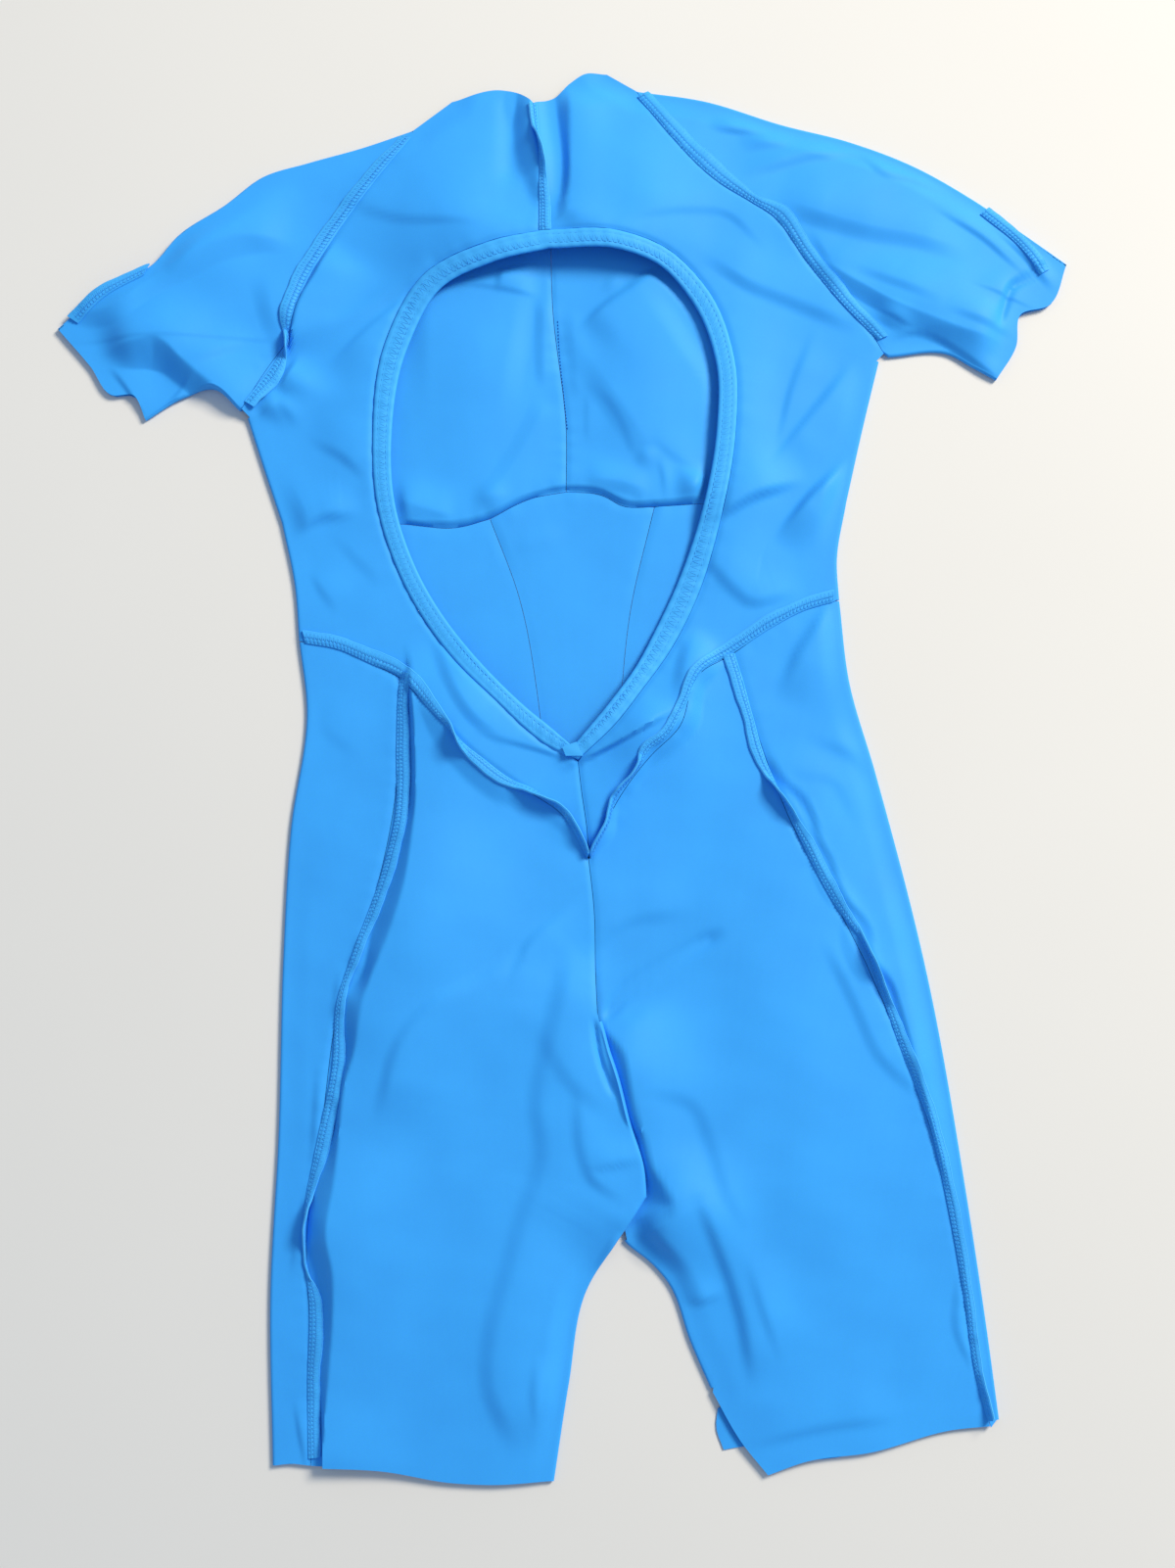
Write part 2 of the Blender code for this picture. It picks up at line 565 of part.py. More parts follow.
# ---------------------------------------------------------------------------------------------
# Panels
# ---------------------------------------------------------------------------------------------
def side_fold(hand):
    """Edge line, outward directions and return widths of the body's rolled side."""
    edge = path((f"side_upper_{hand}", SIDE_STEPS), (f"side_lower_{hand}", SIDE_STEPS))
    outwards = outward(edge, edge * TOWARDS_MIDDLE)
    outwards[-1] = SIGN[hand] * ACROSS_X
    widths = np.full(len(edge), SIDE_RETURN)
    widths[:len(RETURN_START)] *= RETURN_START
    return edge - outwards * ROLL_INSET, outwards, widths


def under_side(hand):
    """Plan points where the front panels meet the returns of the body's rolled side."""
    edge, outwards, widths = side_fold(hand)
    return edge - outwards * (widths + SEAM_GAP)[:, None]


def leg_fold(hand):
    """Edge line and outward directions of the leg's rolled outer edge."""
    edge = smooth(LINES[f"leg_side_{hand}"], LEG_STEPS + 1)
    outwards = outward(edge, edge * TOWARDS_MIDDLE)
    outwards[0] = SIGN[hand] * ACROSS_X
    edge = edge - outwards * ROLL_INSET
    edge[0] -= UP_Y * SEAM_GAP / 2
    return edge, outwards


def inner_leg(hand):
    """Inner edge of a back leg: plan points, outward directions, and the rows that roll."""
    edge = path(*INNER_LEG_LINES[hand])
    first, last = INNER_LEG_ROLL[hand]
    outwards = outward(edge, edge + SIGN[hand] * ACROSS_X)
    distance = np.full(len(edge), SEAM_GAP / 2)
    distance[first:last + 1] = ROLL_INSET
    distance[last + 1:] = 0.0
    return edge - outwards * distance[:, None], outwards, (first, last)


def with_roll(middle, out, edge, outwards, bottom, reach, rows):
    """Adds the columns of a rolled edge to a grid, over the given first and last row."""
    first, last = rows
    count = len(ROLL_ANGLES) + 1
    columns = middle.shape[1]
    more = np.zeros((middle.shape[0], count, 3))
    more_out = np.zeros((middle.shape[0], count, 3))
    span = slice(first, last + 1)
    more[span], more_out[span] = roll_over(edge, outwards, middle[span, -1, 2], bottom, reach)
    cells = np.ones((middle.shape[0] - 1, columns - 1 + count), dtype=bool)
    cells[:first, columns - 1:] = False
    cells[last:, columns - 1:] = False
    return np.concatenate([middle, more], axis=1), np.concatenate([out, more_out], axis=1), cells


def back_bodice(hand):
    """Back of the body from the neck to the waist, on one side of the keyhole."""
    raglan = path((f"shoulder_{hand}", 1), (f"raglan_{hand}", RAGLAN_STEPS))
    raglan = inset(raglan, raglan * TOWARDS_MIDDLE)
    side, side_out, widths = side_fold(hand)
    side[-1] += UP_Y * SEAM_GAP / 2
    waist = path((f"waist_outer_{hand}", WAIST_STEPS), (f"waist_inner_{hand}", ACROSS))[1:]
    outer = np.concatenate([raglan, side, inset(waist, waist + UP_Y)])
    low_steps = len(outer) - 1 - CENTRE_STEPS - HOLE_STEPS
    inner = path(("centre_neck", CENTRE_STEPS), (f"bound_{hand}", HOLE_STEPS),
                 ("centre_low", low_steps))
    inner = inset(inner, outer)
    outer[-1] = inner[-1] + (SIGN[hand] * BODICE_POINT[0], BODICE_POINT[1])
    plan = patch(inner, outer, smooth(LINES[f"neck_{hand}"], ACROSS + 1),
                 np.linspace(inner[-1], outer[-1], ACROSS + 1))
    middle, out = lay(plan, back_height(plan[..., 0], plan[..., 1]))
    first = len(raglan)
    middle, out, cells = with_roll(middle, out, side, side_out, np.full(len(side), FLOOR_LAYER),
                                   widths, (first, first + len(side) - 1))
    wall(f"back_bodice_{hand}", middle, out, cells)
    return middle[:, :ACROSS + 1]


def side_panel(hand):
    """Outer leg panel: from the back seam round the outer edge to a seam underneath."""
    edge, outwards = leg_fold(hand)
    seam = inset(smooth(LINES[f"panel_{hand}"], LEG_STEPS + 1), edge)
    top = smooth(LINES[f"waist_outer_{hand}"], WAIST_STEPS + 1)[::-1]
    hem = smooth(LINES[f"hem_side_{hand}"], WAIST_STEPS + 1)
    plan = patch(seam, edge, inset(top, top - UP_Y), hem)
    middle, out = lay(plan, back_height(plan[..., 0], plan[..., 1]))
    edge[[0, -1]] = plan[[0, -1], -1]
    middle, out, cells = with_roll(middle, out, edge, outwards, np.full(len(edge), FLOOR_LAYER),
                                   np.full(len(edge), PANEL_RETURN), (0, LEG_STEPS))
    wall(f"side_panel_{hand}", middle, out, cells)
    return middle[:, :WAIST_STEPS + 1]


def back_leg(hand):
    """Back of the seat and leg, from the waist seam to the hem."""
    inner, outwards, (first, last) = inner_leg(hand)
    seam = inset(smooth(LINES[f"panel_{hand}"], LEG_STEPS + 1), inner)
    top = smooth(LINES[f"waist_inner_{hand}"], ACROSS + 1)
    plan = patch(seam, inner, inset(top, top - UP_Y), smooth(LINES[f"hem_{hand}"], ACROSS + 1))
    height = back_height(plan[..., 0], plan[..., 1], FLAP_FOLDS if hand == "left" else ())
    rows = slice(first, last + 1)
    edge = plan[rows, -1]
    bottom = np.full(last + 1 - first, FLOOR_LAYER)
    if hand == "left":
        bottom += (FLAP_REST - FLOOR_LAYER) * ease((edge[:, 1] + FLAP_END) / FLAP_SLOPE)
        height[rows, -1] = np.maximum(height[rows, -1], bottom + LAYER_STEP)
    middle, out = lay(plan, height)
    middle, out, cells = with_roll(middle, out, edge, outwards[rows], bottom,
                                   np.full(len(bottom), LEG_RETURN), (first, last))
    wall(f"back_leg_{hand}", middle, out, cells)
    return middle[:, :ACROSS + 1]


def front_leg(hand):
    """Front of the leg, which lies on the floor."""
    edge, outwards = leg_fold(hand)
    outer = edge - outwards * (PANEL_RETURN + SEAM_GAP)
    edge, outwards, _ = inner_leg(hand)
    inner = edge - outwards * (LEG_RETURN + SEAM_GAP)
    centre = smooth(LINES["front_centre_leg"], LEG_CENTRE_ROWS)
    inner[:LEG_CENTRE_ROWS] = centre + SIGN[hand] * ACROSS_X * SEAM_GAP / 2
    if hand == "right":
        inner[-STRIP_ROWS:] = smooth(LINES["front_strip_right"], STRIP_ROWS)
    waist = smooth(LINES[f"front_waist_{hand}"], FRONT_WAIST_STEPS + 1)[::-1]
    point = smooth(LINES[f"front_point_{hand}"], POINT_STEPS + 1)
    top = np.concatenate([waist, point[1:]])
    hem = smooth(LINES[f"front_hem_{hand}"], len(top))[::-1]
    plan = patch(outer, inner, inset(top, top - UP_Y), hem)
    middle, out = lay(plan, np.full(plan.shape[:2], FLOOR_LAYER))
    wall(f"front_leg_{hand}", middle, out)


def front_bust(hand):
    """Front of the chest, from the front neck and raglan seam to the bust seam."""
    raglan = smooth(LINES[f"raglan_{hand}"], RAGLAN_STEPS + 1)
    raglan = inset(raglan, raglan * TOWARDS_MIDDLE)
    outer = np.concatenate([raglan, under_side(hand)[:SIDE_STEPS + 1]])
    centre = inset(smooth(LINES["front_centre"], len(outer)), outer)
    bottom = path((f"underbust_inner_{hand}", BUST_INNER_STEPS),
                  (f"underbust_outer_{hand}", BUST_OUTER_STEPS))
    neck = smooth(LINES[f"front_neck_{hand}"], len(bottom))
    plan = patch(centre, outer, neck, inset(bottom, bottom + UP_Y))
    middle, out = lay(plan, front_height(plan[..., 0], plan[..., 1]))
    wall(f"front_bust_{hand}", middle, out)


def front_midriff_side(hand):
    """Side panel of the front midriff, from the bust seam to the front waist seam."""
    outer = under_side(hand)[SIDE_STEPS:]
    inner = inset(smooth(LINES[f"princess_{hand}"], SIDE_STEPS + 1), outer)
    top = smooth(LINES[f"underbust_outer_{hand}"], BUST_OUTER_STEPS + 1)
    waist = smooth(LINES[f"front_waist_{hand}"], FRONT_WAIST_STEPS + 1)
    side_end = (outer[-1, 0], waist[-1, 1])
    bottom = inset(waist, waist + UP_Y)
    bottom = np.concatenate([bottom, [side_end + UP_Y * SEAM_GAP / 2]])
    plan = patch(inner, outer, inset(top, top - UP_Y), bottom)
    middle, out = lay(plan, front_height(plan[..., 0], plan[..., 1]))
    wall(f"front_midriff_{hand}", middle, out)


def front_midriff_centre():
    """Centre panel of the front midriff, between the two princess seams."""
    left = smooth(LINES["princess_left"], SIDE_STEPS + 1)
    right = smooth(LINES["princess_right"], SIDE_STEPS + 1)
    top = np.concatenate([smooth(LINES["underbust_inner_left"], BUST_INNER_STEPS + 1)[::-1],
                          smooth(LINES["underbust_inner_right"], BUST_INNER_STEPS + 1)[1:]])
    bottom = np.concatenate([smooth(LINES["front_point_left"], POINT_STEPS + 1),
                             smooth(LINES["front_point_right"], POINT_STEPS + 1)[-2::-1]])
    plan = patch(inset(left, right), inset(right, left), inset(top, top - UP_Y),
                 inset(bottom, bottom + UP_Y))
    middle, out = lay(plan, front_height(plan[..., 0], plan[..., 1]))
    wall("front_midriff_centre", middle, out)


def sleeve_edge(hand, side, raglan_end, cuff_end):
    """Edge line and outward directions of a sleeve's rolled upper or lower edge.

    The two ends hold the last two points of the raglan and of the cuff, so that the roll follows
    the seam at one end and the hem at the other.
    """
    edge = smooth(LINES[f"arm_{side}_{hand}"], SLEEVE_STEPS + 1)
    inside = -UP_Y if side == "upper" else UP_Y
    outwards = outward(edge, edge + inside)
    outwards[[0, -1]] = (towards(*raglan_end), towards(*cuff_end))
    edge[[0, -1]] = (raglan_end[1], cuff_end[1])
    return edge - outwards * ROLL_INSET, outwards


def sleeve(hand):
    """A flattened sleeve: a tube with one layer on the floor and one on top."""
    raglan = smooth(LINES[f"raglan_{hand}"], RAGLAN_STEPS + 1)
    raglan = inset(raglan, raglan * TOWARDS_MIDDLE, -SEAM_GAP / 2)
    cuff = smooth(LINES[f"cuff_{hand}"], RAGLAN_STEPS + 1)
    upper, upper_out = sleeve_edge(hand, "upper", raglan[1::-1], cuff[1::-1])
    lower, lower_out = sleeve_edge(hand, "lower", raglan[-2:], cuff[-2:])
    raglan[[0, -1]] = (upper[0], lower[0])
    cuff[[0, -1]] = (upper[-1], lower[-1])
    plan = patch(upper, lower, raglan, cuff)
    top, top_out = lay(plan, back_height(plan[..., 0], plan[..., 1]))
    under, under_out = lay(plan[:, ::-1], np.full(plan.shape[:2], FLOOR_LAYER))
    floor = np.full(len(upper), FLOOR_LAYER)
    low_roll, low_out = roll_over(lower, lower_out, top[:, -1, 2], floor)
    high_roll, high_out = roll_over(upper, upper_out, top[:, 0, 2], floor)
    middle = np.concatenate([top, low_roll[:, :-1], under, high_roll[:, -2::-1]], axis=1)
    out = np.concatenate([top_out, low_out[:, :-1], -under_out, high_out[:, -2::-1]], axis=1)
    wall(f"sleeve_{hand}", middle, out, round_columns=True)
    return top


def keyhole_binding():
    """The folded binding round the open back: a ring that follows the cloth."""
    rings = []
    for line in ("hole", "bound"):
        right = smooth(LINES[f"{line}_right"], HOLE_STEPS + 1)
        left = smooth(LINES[f"{line}_left"], HOLE_STEPS + 1)
        rings.append(np.concatenate([right, left[-2:0:-1]]))
    inner, outer = rings
    width = np.linalg.norm(outer - inner, axis=1)[:, None]
    outer = outer - (outer - inner) * SEAM_GAP / 2 / width
    plan = np.stack([inner, (inner + outer) / 2, outer], axis=1)
    middle, out = lay(plan, back_height(plan[..., 0], plan[..., 1]) + BINDING_RAISE)
    wall("keyhole_binding", middle, out, round_rows=True, thickness=BINDING_WALL,
         colour=THREAD_BLUE)


def clear_scene():
    """Removes everything in the scene."""
    for old in list(bpy.data.objects):
        bpy.data.objects.remove(old, do_unlink=True)


def build():
    """Makes the whole suit."""
    clear_scene()
    on_top = []
    for hand in ("left", "right"):
        for panel in (back_bodice, side_panel, back_leg, sleeve):
            on_top.append(panel(hand))
        for panel in (front_leg, front_bust, front_midriff_side):
            panel(hand)
    front_midriff_centre()
    keyhole_binding()
    for name, rows in ALLOWANCES.items():
        allowance(name, rows, on_top)


build()
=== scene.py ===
from functools import lru_cache
from math import cos, pi, radians, sin

import bmesh
import bpy
import numpy as np
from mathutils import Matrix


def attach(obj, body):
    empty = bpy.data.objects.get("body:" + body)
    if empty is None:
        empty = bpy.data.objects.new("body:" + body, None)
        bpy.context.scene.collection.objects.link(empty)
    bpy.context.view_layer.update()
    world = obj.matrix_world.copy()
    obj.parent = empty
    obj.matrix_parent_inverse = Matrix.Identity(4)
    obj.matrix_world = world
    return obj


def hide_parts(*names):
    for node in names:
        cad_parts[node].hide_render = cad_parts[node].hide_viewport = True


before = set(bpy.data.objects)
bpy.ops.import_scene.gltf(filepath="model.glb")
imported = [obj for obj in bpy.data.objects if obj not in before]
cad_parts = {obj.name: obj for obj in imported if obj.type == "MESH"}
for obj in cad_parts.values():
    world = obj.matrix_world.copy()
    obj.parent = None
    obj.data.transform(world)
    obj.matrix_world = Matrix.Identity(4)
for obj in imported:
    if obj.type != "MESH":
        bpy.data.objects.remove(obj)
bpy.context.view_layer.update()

# ---- Sizes, in millimetres: the CAD part's own, where the two have them in common ----
METRE = 1000.0
CLOTH = 0.7              # thickness of the knit
SEAM_GAP = 0.3           # between two panels
FLOOR_LAYER = 0.6        # middle of the front layer above the floor
LAYER_STEP = 2.0         # from the middle of the front layer to that of the back layer
SIDE_RETURN = 18.0       # how far the cloth comes back underneath at the body's sides,
PANEL_RETURN = 44.0      # under a side panel,
LEG_RETURN = 6.0         # and under a back leg
FLAP_REST = 5.6          # height at which the left leg's flap lies on the right leg
FLAP_END = 292.0         # how far below the origin the flap ends
FLAP_SLOPE = 20.0        # length over which it comes up from the floor

# Rolled edges
ROLL = 1.25              # how far the middle of the cloth stands out past its last column
ROLL_INSET = 1.6         # from the outline in to that column
ROLL_ANGLES = (25, 50, 75, 90, 105, 130, 155, 180)   # degrees
EDGE_REACH = 14.0        # the back layer comes down to the roll over this width

# Allowances
ALLOWANCE = 6.6          # width
ALLOWANCE_WALL = 1.2     # thickness
RIBBON_STEP = 1.4        # length of a cell of the ribbon
RIBBON_STEPS_LEAST = 24
RIBBON_SHARES = (0.0, 0.05, 0.09, 0.13, 0.2, 0.3, 0.4, 0.45, 0.5, 0.6, 0.75, 0.9, 1.0)
RIBBON_ARCH = 0.6        # how far its middle stands above its two edges
NEEDLE_ROWS = (0.09, 0.45)
NEEDLE_GROOVE = 0.32     # depth that the needle rows are pulled in
GROOVE_WIDTH = 0.045
BASE_LIFT = 0.45         # the needle line's height above the cloth
FREE_LIFT = 1.1          # the least height of the free edge above it
LEAST_LIFT = 0.4         # and that of any other point's under side
LOOP_PITCH = 2.2
LOOP_STEPS = 8           # points in one stitch of the overlock
LOOP_END = 1.04          # the loops go round just past the free edge
LOOP_LIFTS = (0.02, -0.35)   # a loop's height over the face, and beyond the free edge
NEEDLE_STITCH = (0.3, 2.0)   # where a needle stitch starts and ends in its pitch
NEEDLE_ARCH = (-0.4, 0.08, 0.08, -0.4)
EDGE_THREAD_OUT = 0.1
LAID = 0.9               # an allowance whose free edge is far from its needle line lies down
LAID_FROM = 0.25         # from this share of its width on,
LAID_OVER = 0.4          # over this much more of it
SEEDS = 17               # an allowance's name gives it one of so many phases
EDGE_WAVES = ((0.08, 9.5, 1), (0.25, 27.0, 2))   # size, length, phase in seeds
EDGE_RISE = 0.25         # and how it rises and sinks,
EDGE_RISE_LENGTH = 31.0  # over this length

# Binding and topstitch
STITCH_PITCH = 3.2
STITCH_LENGTH = 2.5
STITCH_START = 1.0
STITCH_ROWS = (0.27, 0.73)
STITCH_POINTS = 5
STITCH_ARCH = (-0.25, 0.1, 0.18, 0.1, -0.25)   # heights along a stitch, over the binding
COVER_LIFT = 0.06
RIPPLE = 0.12
RIPPLE_LENGTH = 7.3
RIPPLE_SWAY = (1.5, 19.0)
BINDING_FOLLOWS = 0.35   # how much of the cloth's own tilt the binding follows
BINDING_STEPS = {"right": 220, "left": 200}   # round each side of the keyhole
BINDING_END_CORNERS = ((0, 1), (8, 4), (12, -4), (2, -4))
BINDING_END_GRID = (15, 11)
BINDING_END_LIFT = 1.9
BINDING_END_ARCH = 0.35
BINDING_END_WALL = 0.8
TOPSTITCH_LINE = ((-3, 253), (-2, 234), (0, 214), (3, 186))
TOPSTITCH_STEPS = 200
TOPSTITCH_PITCH = 2.0
TOPSTITCH_LENGTH = 1.3
TOPSTITCH_ARCH = (-0.2, 0.12, 0.2, 0.12, -0.2)

# Radius of each thread
LOOP_THREAD = 0.13
NEEDLE_THREAD = 0.16
EDGE_THREAD = 0.62
BINDING_THREAD = 0.2
COVER_THREAD = 0.15
TOPSTITCH_THREAD = 0.32
THREAD_TIP = 0.4         # a thread's ends are this much of its width
ASKEW = np.array((0.21, 0.13, 0.97))   # no thread runs this way

# Coarse steps along the lines, and how many times finer the grids are
RAGLAN_STEPS = 7
SIDE_STEPS = 4
CENTRE_STEPS = 2
HOLE_STEPS = 20
WAIST_STEPS = 3
ACROSS = 6
LEG_STEPS = 21
SLEEVE_STEPS = 8
FINE_LENGTH = 8
FINE_ACROSS = 10
FINE_SLEEVE = 15
FINE_BUST = 15
FINE_LEG = 16
FINE_MIDRIFF = 16
PLAIN = 3                # for what is hidden under other panels
SEAM_BEND = 0.4          # draws the columns of a panel towards its first edge
UNDER_COLUMN = 5         # a sleeve's lower layer has one column for so many of its upper layer
CURVE_STEPS = 16         # fine steps for each point of a soft curve
CORNER_REACH = 5.0       # a corner further off than this is put between its two edges' ends
END_REACH = 15.0         # length over which a line is drawn along with its moved end
FOLD_STEPS = 4           # steps for each point of a fold or crease,
SLOPE_STEPS = 5          # of a slope,
SEAM_STEPS = 6           # and of a seam
CROTCH_STEPS = 12        # coarse steps down to where the front legs part
ROLL_START = 8.0         # a back leg's inner edge starts to roll over so many rows
RETURN_STARTS = (0.35, 0.75, 1.0)   # the first widths of a body side's return, as shares
BODICE_POINT = (1.3, 1.2)   # half the width and the height of the bodice's tip

# The front layer's relief fades out at the borders of the chest
CHEST_MIDDLE = -4.0
CHEST_HALF_WIDTH = 100.0
CHEST_FADE_X = 16.0
CHEST_BOTTOM = 20.0
CHEST_TOP = 345.0
CHEST_FADE_Y = 30.0
IN_THE_HOLE = (0.0, 150.0)   # a place inside the keyhole
HOLE_EDGE = 7.0          # the front's slopes fade out over this width at the keyhole's edge
FRONT_LEAST = 0.5        # the middle of the front layer never lies lower
FRONT_UNDULATION = 0.5

# Folds, creases and slopes
SPREAD = 2.8             # a bell curve has died away at so many times its reach
FOLD_FADE = 0.2          # share of a fold over which each end fades
CREASE_SCALE = 1.3
SOFT_SCALE = 1.25
CREASE_SPREAD = 3.8      # and a crease at so many times that of its soft side
CREASE_FADE = 0.35       # a crease runs on by this share of its length, to fade
CREASE_FADE_MOST = 40.0  # of no more than this length
FADE_LENGTHS = 2.2       # and fades over so many times that
WEAK_NARROWER = 0.35     # a crease along the light is made narrower
WEAK_HIGHER = 1.1        # and higher
SLOPE_END = 12.0         # a slope's ends fade over at least this length
SLOPE_END_MOST = 30.0
SLOPE_MARGIN = 14.0
FOOT_MORE = 25.0         # how far the foot line runs on past its ends
GRID = 2.0               # cells in which a slope's full height is worked out
WIDE_SLOPE = 0.12        # share added to its height for each millimetre
NARROW = 5.0             # that it is wider than this,
WIDER_MOST = 10.0        # up to so many
BLUR_FOR = 8.0           # it is softened once for each so much of its soft reach,
BLUR = 7                 # over so many cells
WIDE_BLUR = 21           # and its width over so many points
EASED = 0.2              # how much of its climb is eased at both ends
SLOPE_END_SOFT = 0.7     # its ends fade over at least this much of its soft reach
PUCKER_REACH = 22.0      # seams pull puckers into the cloth: how far off,
PUCKER_WIDTH = 7.0       # how wide,
DIP_WIDTH = 1.7          # and how wide the seam's own dip
PUCKER_SHIFT = 3.0       # the puckers of the two sides are moved along by this
SETTLE_REACH = 30.0
PUCKER_LENGTH = 11.0     # from one pucker to the next,
PUCKER_SWAY = (1.7, 9.0)   # how much that changes along the seam, and over what length
WIDE_PUCKERS = (0.6, 17.0, 1.0)   # size, length and phase of the wider ones

# The faint waves of cloth that has been worn and put down.
# Columns: height, run in x, run in y, length, phase, bend, the bend's axis, its length
WAVES = (
    (0.22, 0.8, 0.6, 47, 0.6, 0.0, 0, 1),
    (0.18, 0.5, -0.87, 61, 2.1, 0.0, 0, 1),
    (0.12, 1.0, -0.2, 33, 0.0, 1.2, 1, 29),
    (0.08, 0.3, 1.0, 24, 0.0, 1.1, 0, 21),
)
WAVE_SCALE = 0.4

HANDS = ("left", "right")
SIGN = {"left": -1.0, "right": 1.0}
ACROSS_X = np.array((1.0, 0.0))
UP_Y = np.array((0.0, 1.0))
TOWARDS_MIDDLE = np.array((0.5, 1.0))
FACE_DOWN = (0.0, 0.0, -1.0)
LIT_SIDE = np.array((0.75, 0.66))   # a crease rises on the side that faces this way
TINY = 1e-9

# Columns: share of the binding's width from the opening outwards, height above the cloth
BINDING_SECTION = (
    (0.00, 0.1), (0.02, 0.8), (0.08, 1.25), (0.2, 1.35), (0.27, 1.2), (0.34, 1.4), (0.5, 1.45),
    (0.66, 1.4), (0.73, 1.2), (0.8, 1.35), (0.92, 1.25), (0.98, 0.8), (1.00, 0.1), (0.98, -0.4),
    (0.7, -0.6), (0.3, -0.6), (0.02, -0.4),
)
BINDING_TOP = 13         # so many of its rows are the upper face

# The lines of a back leg's inner edge with their steps, and the steps between which it rolls
INNER_LEG_LINES = {
    "left": (("centre_seat", 5), ("flap_edge", 5), ("flap_turn", 3), ("inner_leg_left", 8)),
    "right": (("centre_seat", 5), ("under_flap", 8), ("inner_leg_right", 5),
              ("turned_hem_right", 3)),
}
INNER_LEG_ROLL = {"left": (5, 21), "right": (13, 18)}
SHARP_ANGLE = 50.0       # edges are shaded sharp from so many degrees on

# Colours; light and camera in metres
KNIT_BLUE = (0.039, 0.376, 0.985)
# Painted light: the knit's own blue made lighter for the binding and the allowances, so that the
# raised binding shows brighter than the cloth round it and the shade between the overlock loops is
# offset
LIGHTENED_EDGE_BLUE = (0.05, 0.42, 0.99)
# Painted light: the thread's blue made lighter to offset the shade that the threads cast on one
# another
LIGHTENED_THREAD_BLUE = (0.07, 0.46, 0.99)
STITCH_BLUE = (0.015, 0.2, 0.66)
DARKER = 0.95            # the clouding of the knit's colour, from darker
LIGHTER = 1.04           # to lighter
FLOOR_HALF = 4.0
FLOOR_CORNERS = ((-1, -1), (1, -1), (1, 1), (-1, 1))
LAMP_PLACE = (2.42, 2.03, 2.46)
LAMP_SIZE = 1.3
LAMP_POWER = 214.0
LAMP_COLOUR = (1.0, 0.89, 0.72)
SKY_COLOUR = (0.62, 0.78, 1.0, 1.0)
SKY_STRENGTH = 0.5
CAMERA_PLACE = (0.01433, -0.1286, 1.0442)
CAMERA_TILT = radians(6.0)
SENSOR_WIDTH = 36.0
FOCAL_LENGTH = 42.32

